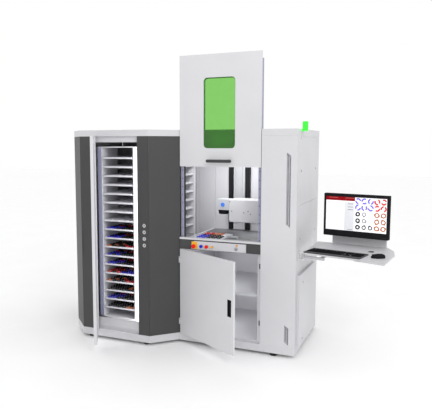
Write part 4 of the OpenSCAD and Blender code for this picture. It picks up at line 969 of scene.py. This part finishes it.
# %% Screw
dark_screw = finish("dark_screw", srgb(70, 70, 74), rough=0.35, metal=1.0, texture="brushed")
screw = Shape().turned([(4.6, -0.2), (4.6, 1.3), (3.6, 2.5), (2.3, 2.6), (2.1, 0.9)], 12)
small = Matrix.Scale(0.62, 4)
flat = Matrix.Diagonal((1, 1, 0.2, 1))


def screws(name, body, mat, places, turn, scale=HERE, frame_turn=HERE):
    """Screws at a list of places, as one mesh."""
    shape = Shape()
    for p in places:
        shape.put(screw, frame_turn @ move(*p) @ turn @ scale)
    shape.make(name, body, mat)


print("screw head", 2 * 4.6, "mm wide")

# %% [markdown]
# There are screws on the laser's cover, the control panel, the guides in the bay, the side
# covers and the monitor's mounting plate. Those of the guides are sunk nearly flush.

# %% Rows of screws
ON_COVER = ((-393, 1201), (-273, 1190), (-232, 1205), (-209, 1179), (-412, 1290), (-98, 1290),
            (-412, 1106), (-98, 1106))
ON_PANEL = ((-618, 950), (-140, 896), (-140, 950), (-380, 950), (-380, 896))
screws("laser_screws", "laser_head", dark_screw, [(x, 360, z) for x, z in ON_COVER], FRONT)
screws("panel_screws", "machine", satin_steel, [(x, -12, z) for x, z in ON_PANEL], FRONT, small)
screws("guide_screws", "machine", dark_screw,
       [(x, 24, z) for x in (-741, -21) for z in range(1000, 1890, 74)], FRONT, flat)
screws("cover_screws", "machine", satin_steel,
       [(305, y, z) for y in (98, 792) for z in (740, 1000, 1290, 1330, 1600, 1870)], RIGHT, small)
screws("monitor_screws", "console", dark_screw,
       [(x, 521.2, z) for x in (116, 416) for z in (1080, 1260)], BACK, frame_turn=console)

# %% [markdown]
# Three sheet pieces finish the magazine: an apron that closes the foot of the opening in front
# of the turntable, with a raised stiffening bead, a strap behind the joint of the rear panels,
# and a light lining below the one that is seen through the transfer opening. They are thin and
# flat, so slabs do for all of them.

# %% Apron, strap and lining
apron = Shape().slab((-1534, -173.6, 108.8), (-1083, -169.6, 203), 1.2, 2)
for z in (116, 192):
    apron.slab((-1526, -174.3, z), (-1091, -173.2, z + 3.5), 0.4, 1.2)
for x in (-1526, -1094.5):
    apron.slab((x, -174.2, 116), (x + 3.5, -173.2, 195.5), 0.4, 1.2)
apron.make("apron", "machine", light_coat)
strap = Shape().slab((-1347, 876.4, 98), (-1307, 879.7, 1888), 0.8, 3)
strap.make("rear_strap", "machine", dark_coat)
lining = Shape().slab((-935, 874.2, 500), (-791, 879.7, 943.6), 0.6, 2)
lining.make("lower_lining", "machine", inner_coat)

# %% [markdown]
# A brush strip closes the gap beside the left guide. Hair strands would not be exported, and
# from a step away the bristles read as tufts, so each tuft is a thin flat block.

# %% Brush strip
TUFTS, FIRST_TUFT, TUFT_STEP = 224, 989.4, 4
# The brush's black is partly its own rubber colour and partly painted shade of the gap beside the
# guide.
brush = Shape().slab((-733, 25.4, 989), (-727, 27.6, 1885), 0.4, steps=1)
for i in range(TUFTS):
    z = FIRST_TUFT + i * TUFT_STEP
    brush.slab((-727.4, 26.1, z), (-710.5, 27.0, z + 3.4), 0.2, 0.25, steps=1)
brush.make("guide_brush_and_gap_shade", "machine", black_rubber)

# %% [markdown]
# The light bars under the bay's header and beside the magazine opening are a carrier each with a
# glowing diffuser. Most of the light that they seem to give comes from the area lamps of the
# studio, because a thin glowing mesh alone makes a grainy picture.

# %% Light bars
lamp_diffuser = finish("lamp_diffuser", srgb(250, 250, 252), rough=0.6, texture="moulded", glow=1.2)
bars = Shape().slab((-700, 124, 1872), (-60, 152, 1889), 2, 3)
bars.slab((-694, 128, 1867), (-66, 148, 1873), 2, 6, mark=1)
bars.slab((-1076, -178, 300), (-1056, -162, 1800), 2, 3)
bars.slab((-1079, -174, 310), (-1075, -166, 1790), 1, 2, mark=1)
bars.make("light_bars", "machine", inner_coat, lamp_diffuser)

# %% [markdown]
# The machine stands on a plain pale floor, which belongs to the studio and not to the machine.
# It is wide enough to meet the white sky far behind, so that no edge shows.

# %% Floor
floor = bpy.data.meshes.new("floor")
floor.from_pydata([(-30, -30, 0), (30, -30, 0), (30, 30, 0), (-30, 30, 0)], [], [(0, 1, 2, 3)])
floor = bpy.data.objects.new("floor", floor)
floor.data.materials.append(finish("floor_paint", srgb(253, 253, 253), rough=0.7, wander=0.01))
scene.collection.objects.link(floor)
print("floor laid")
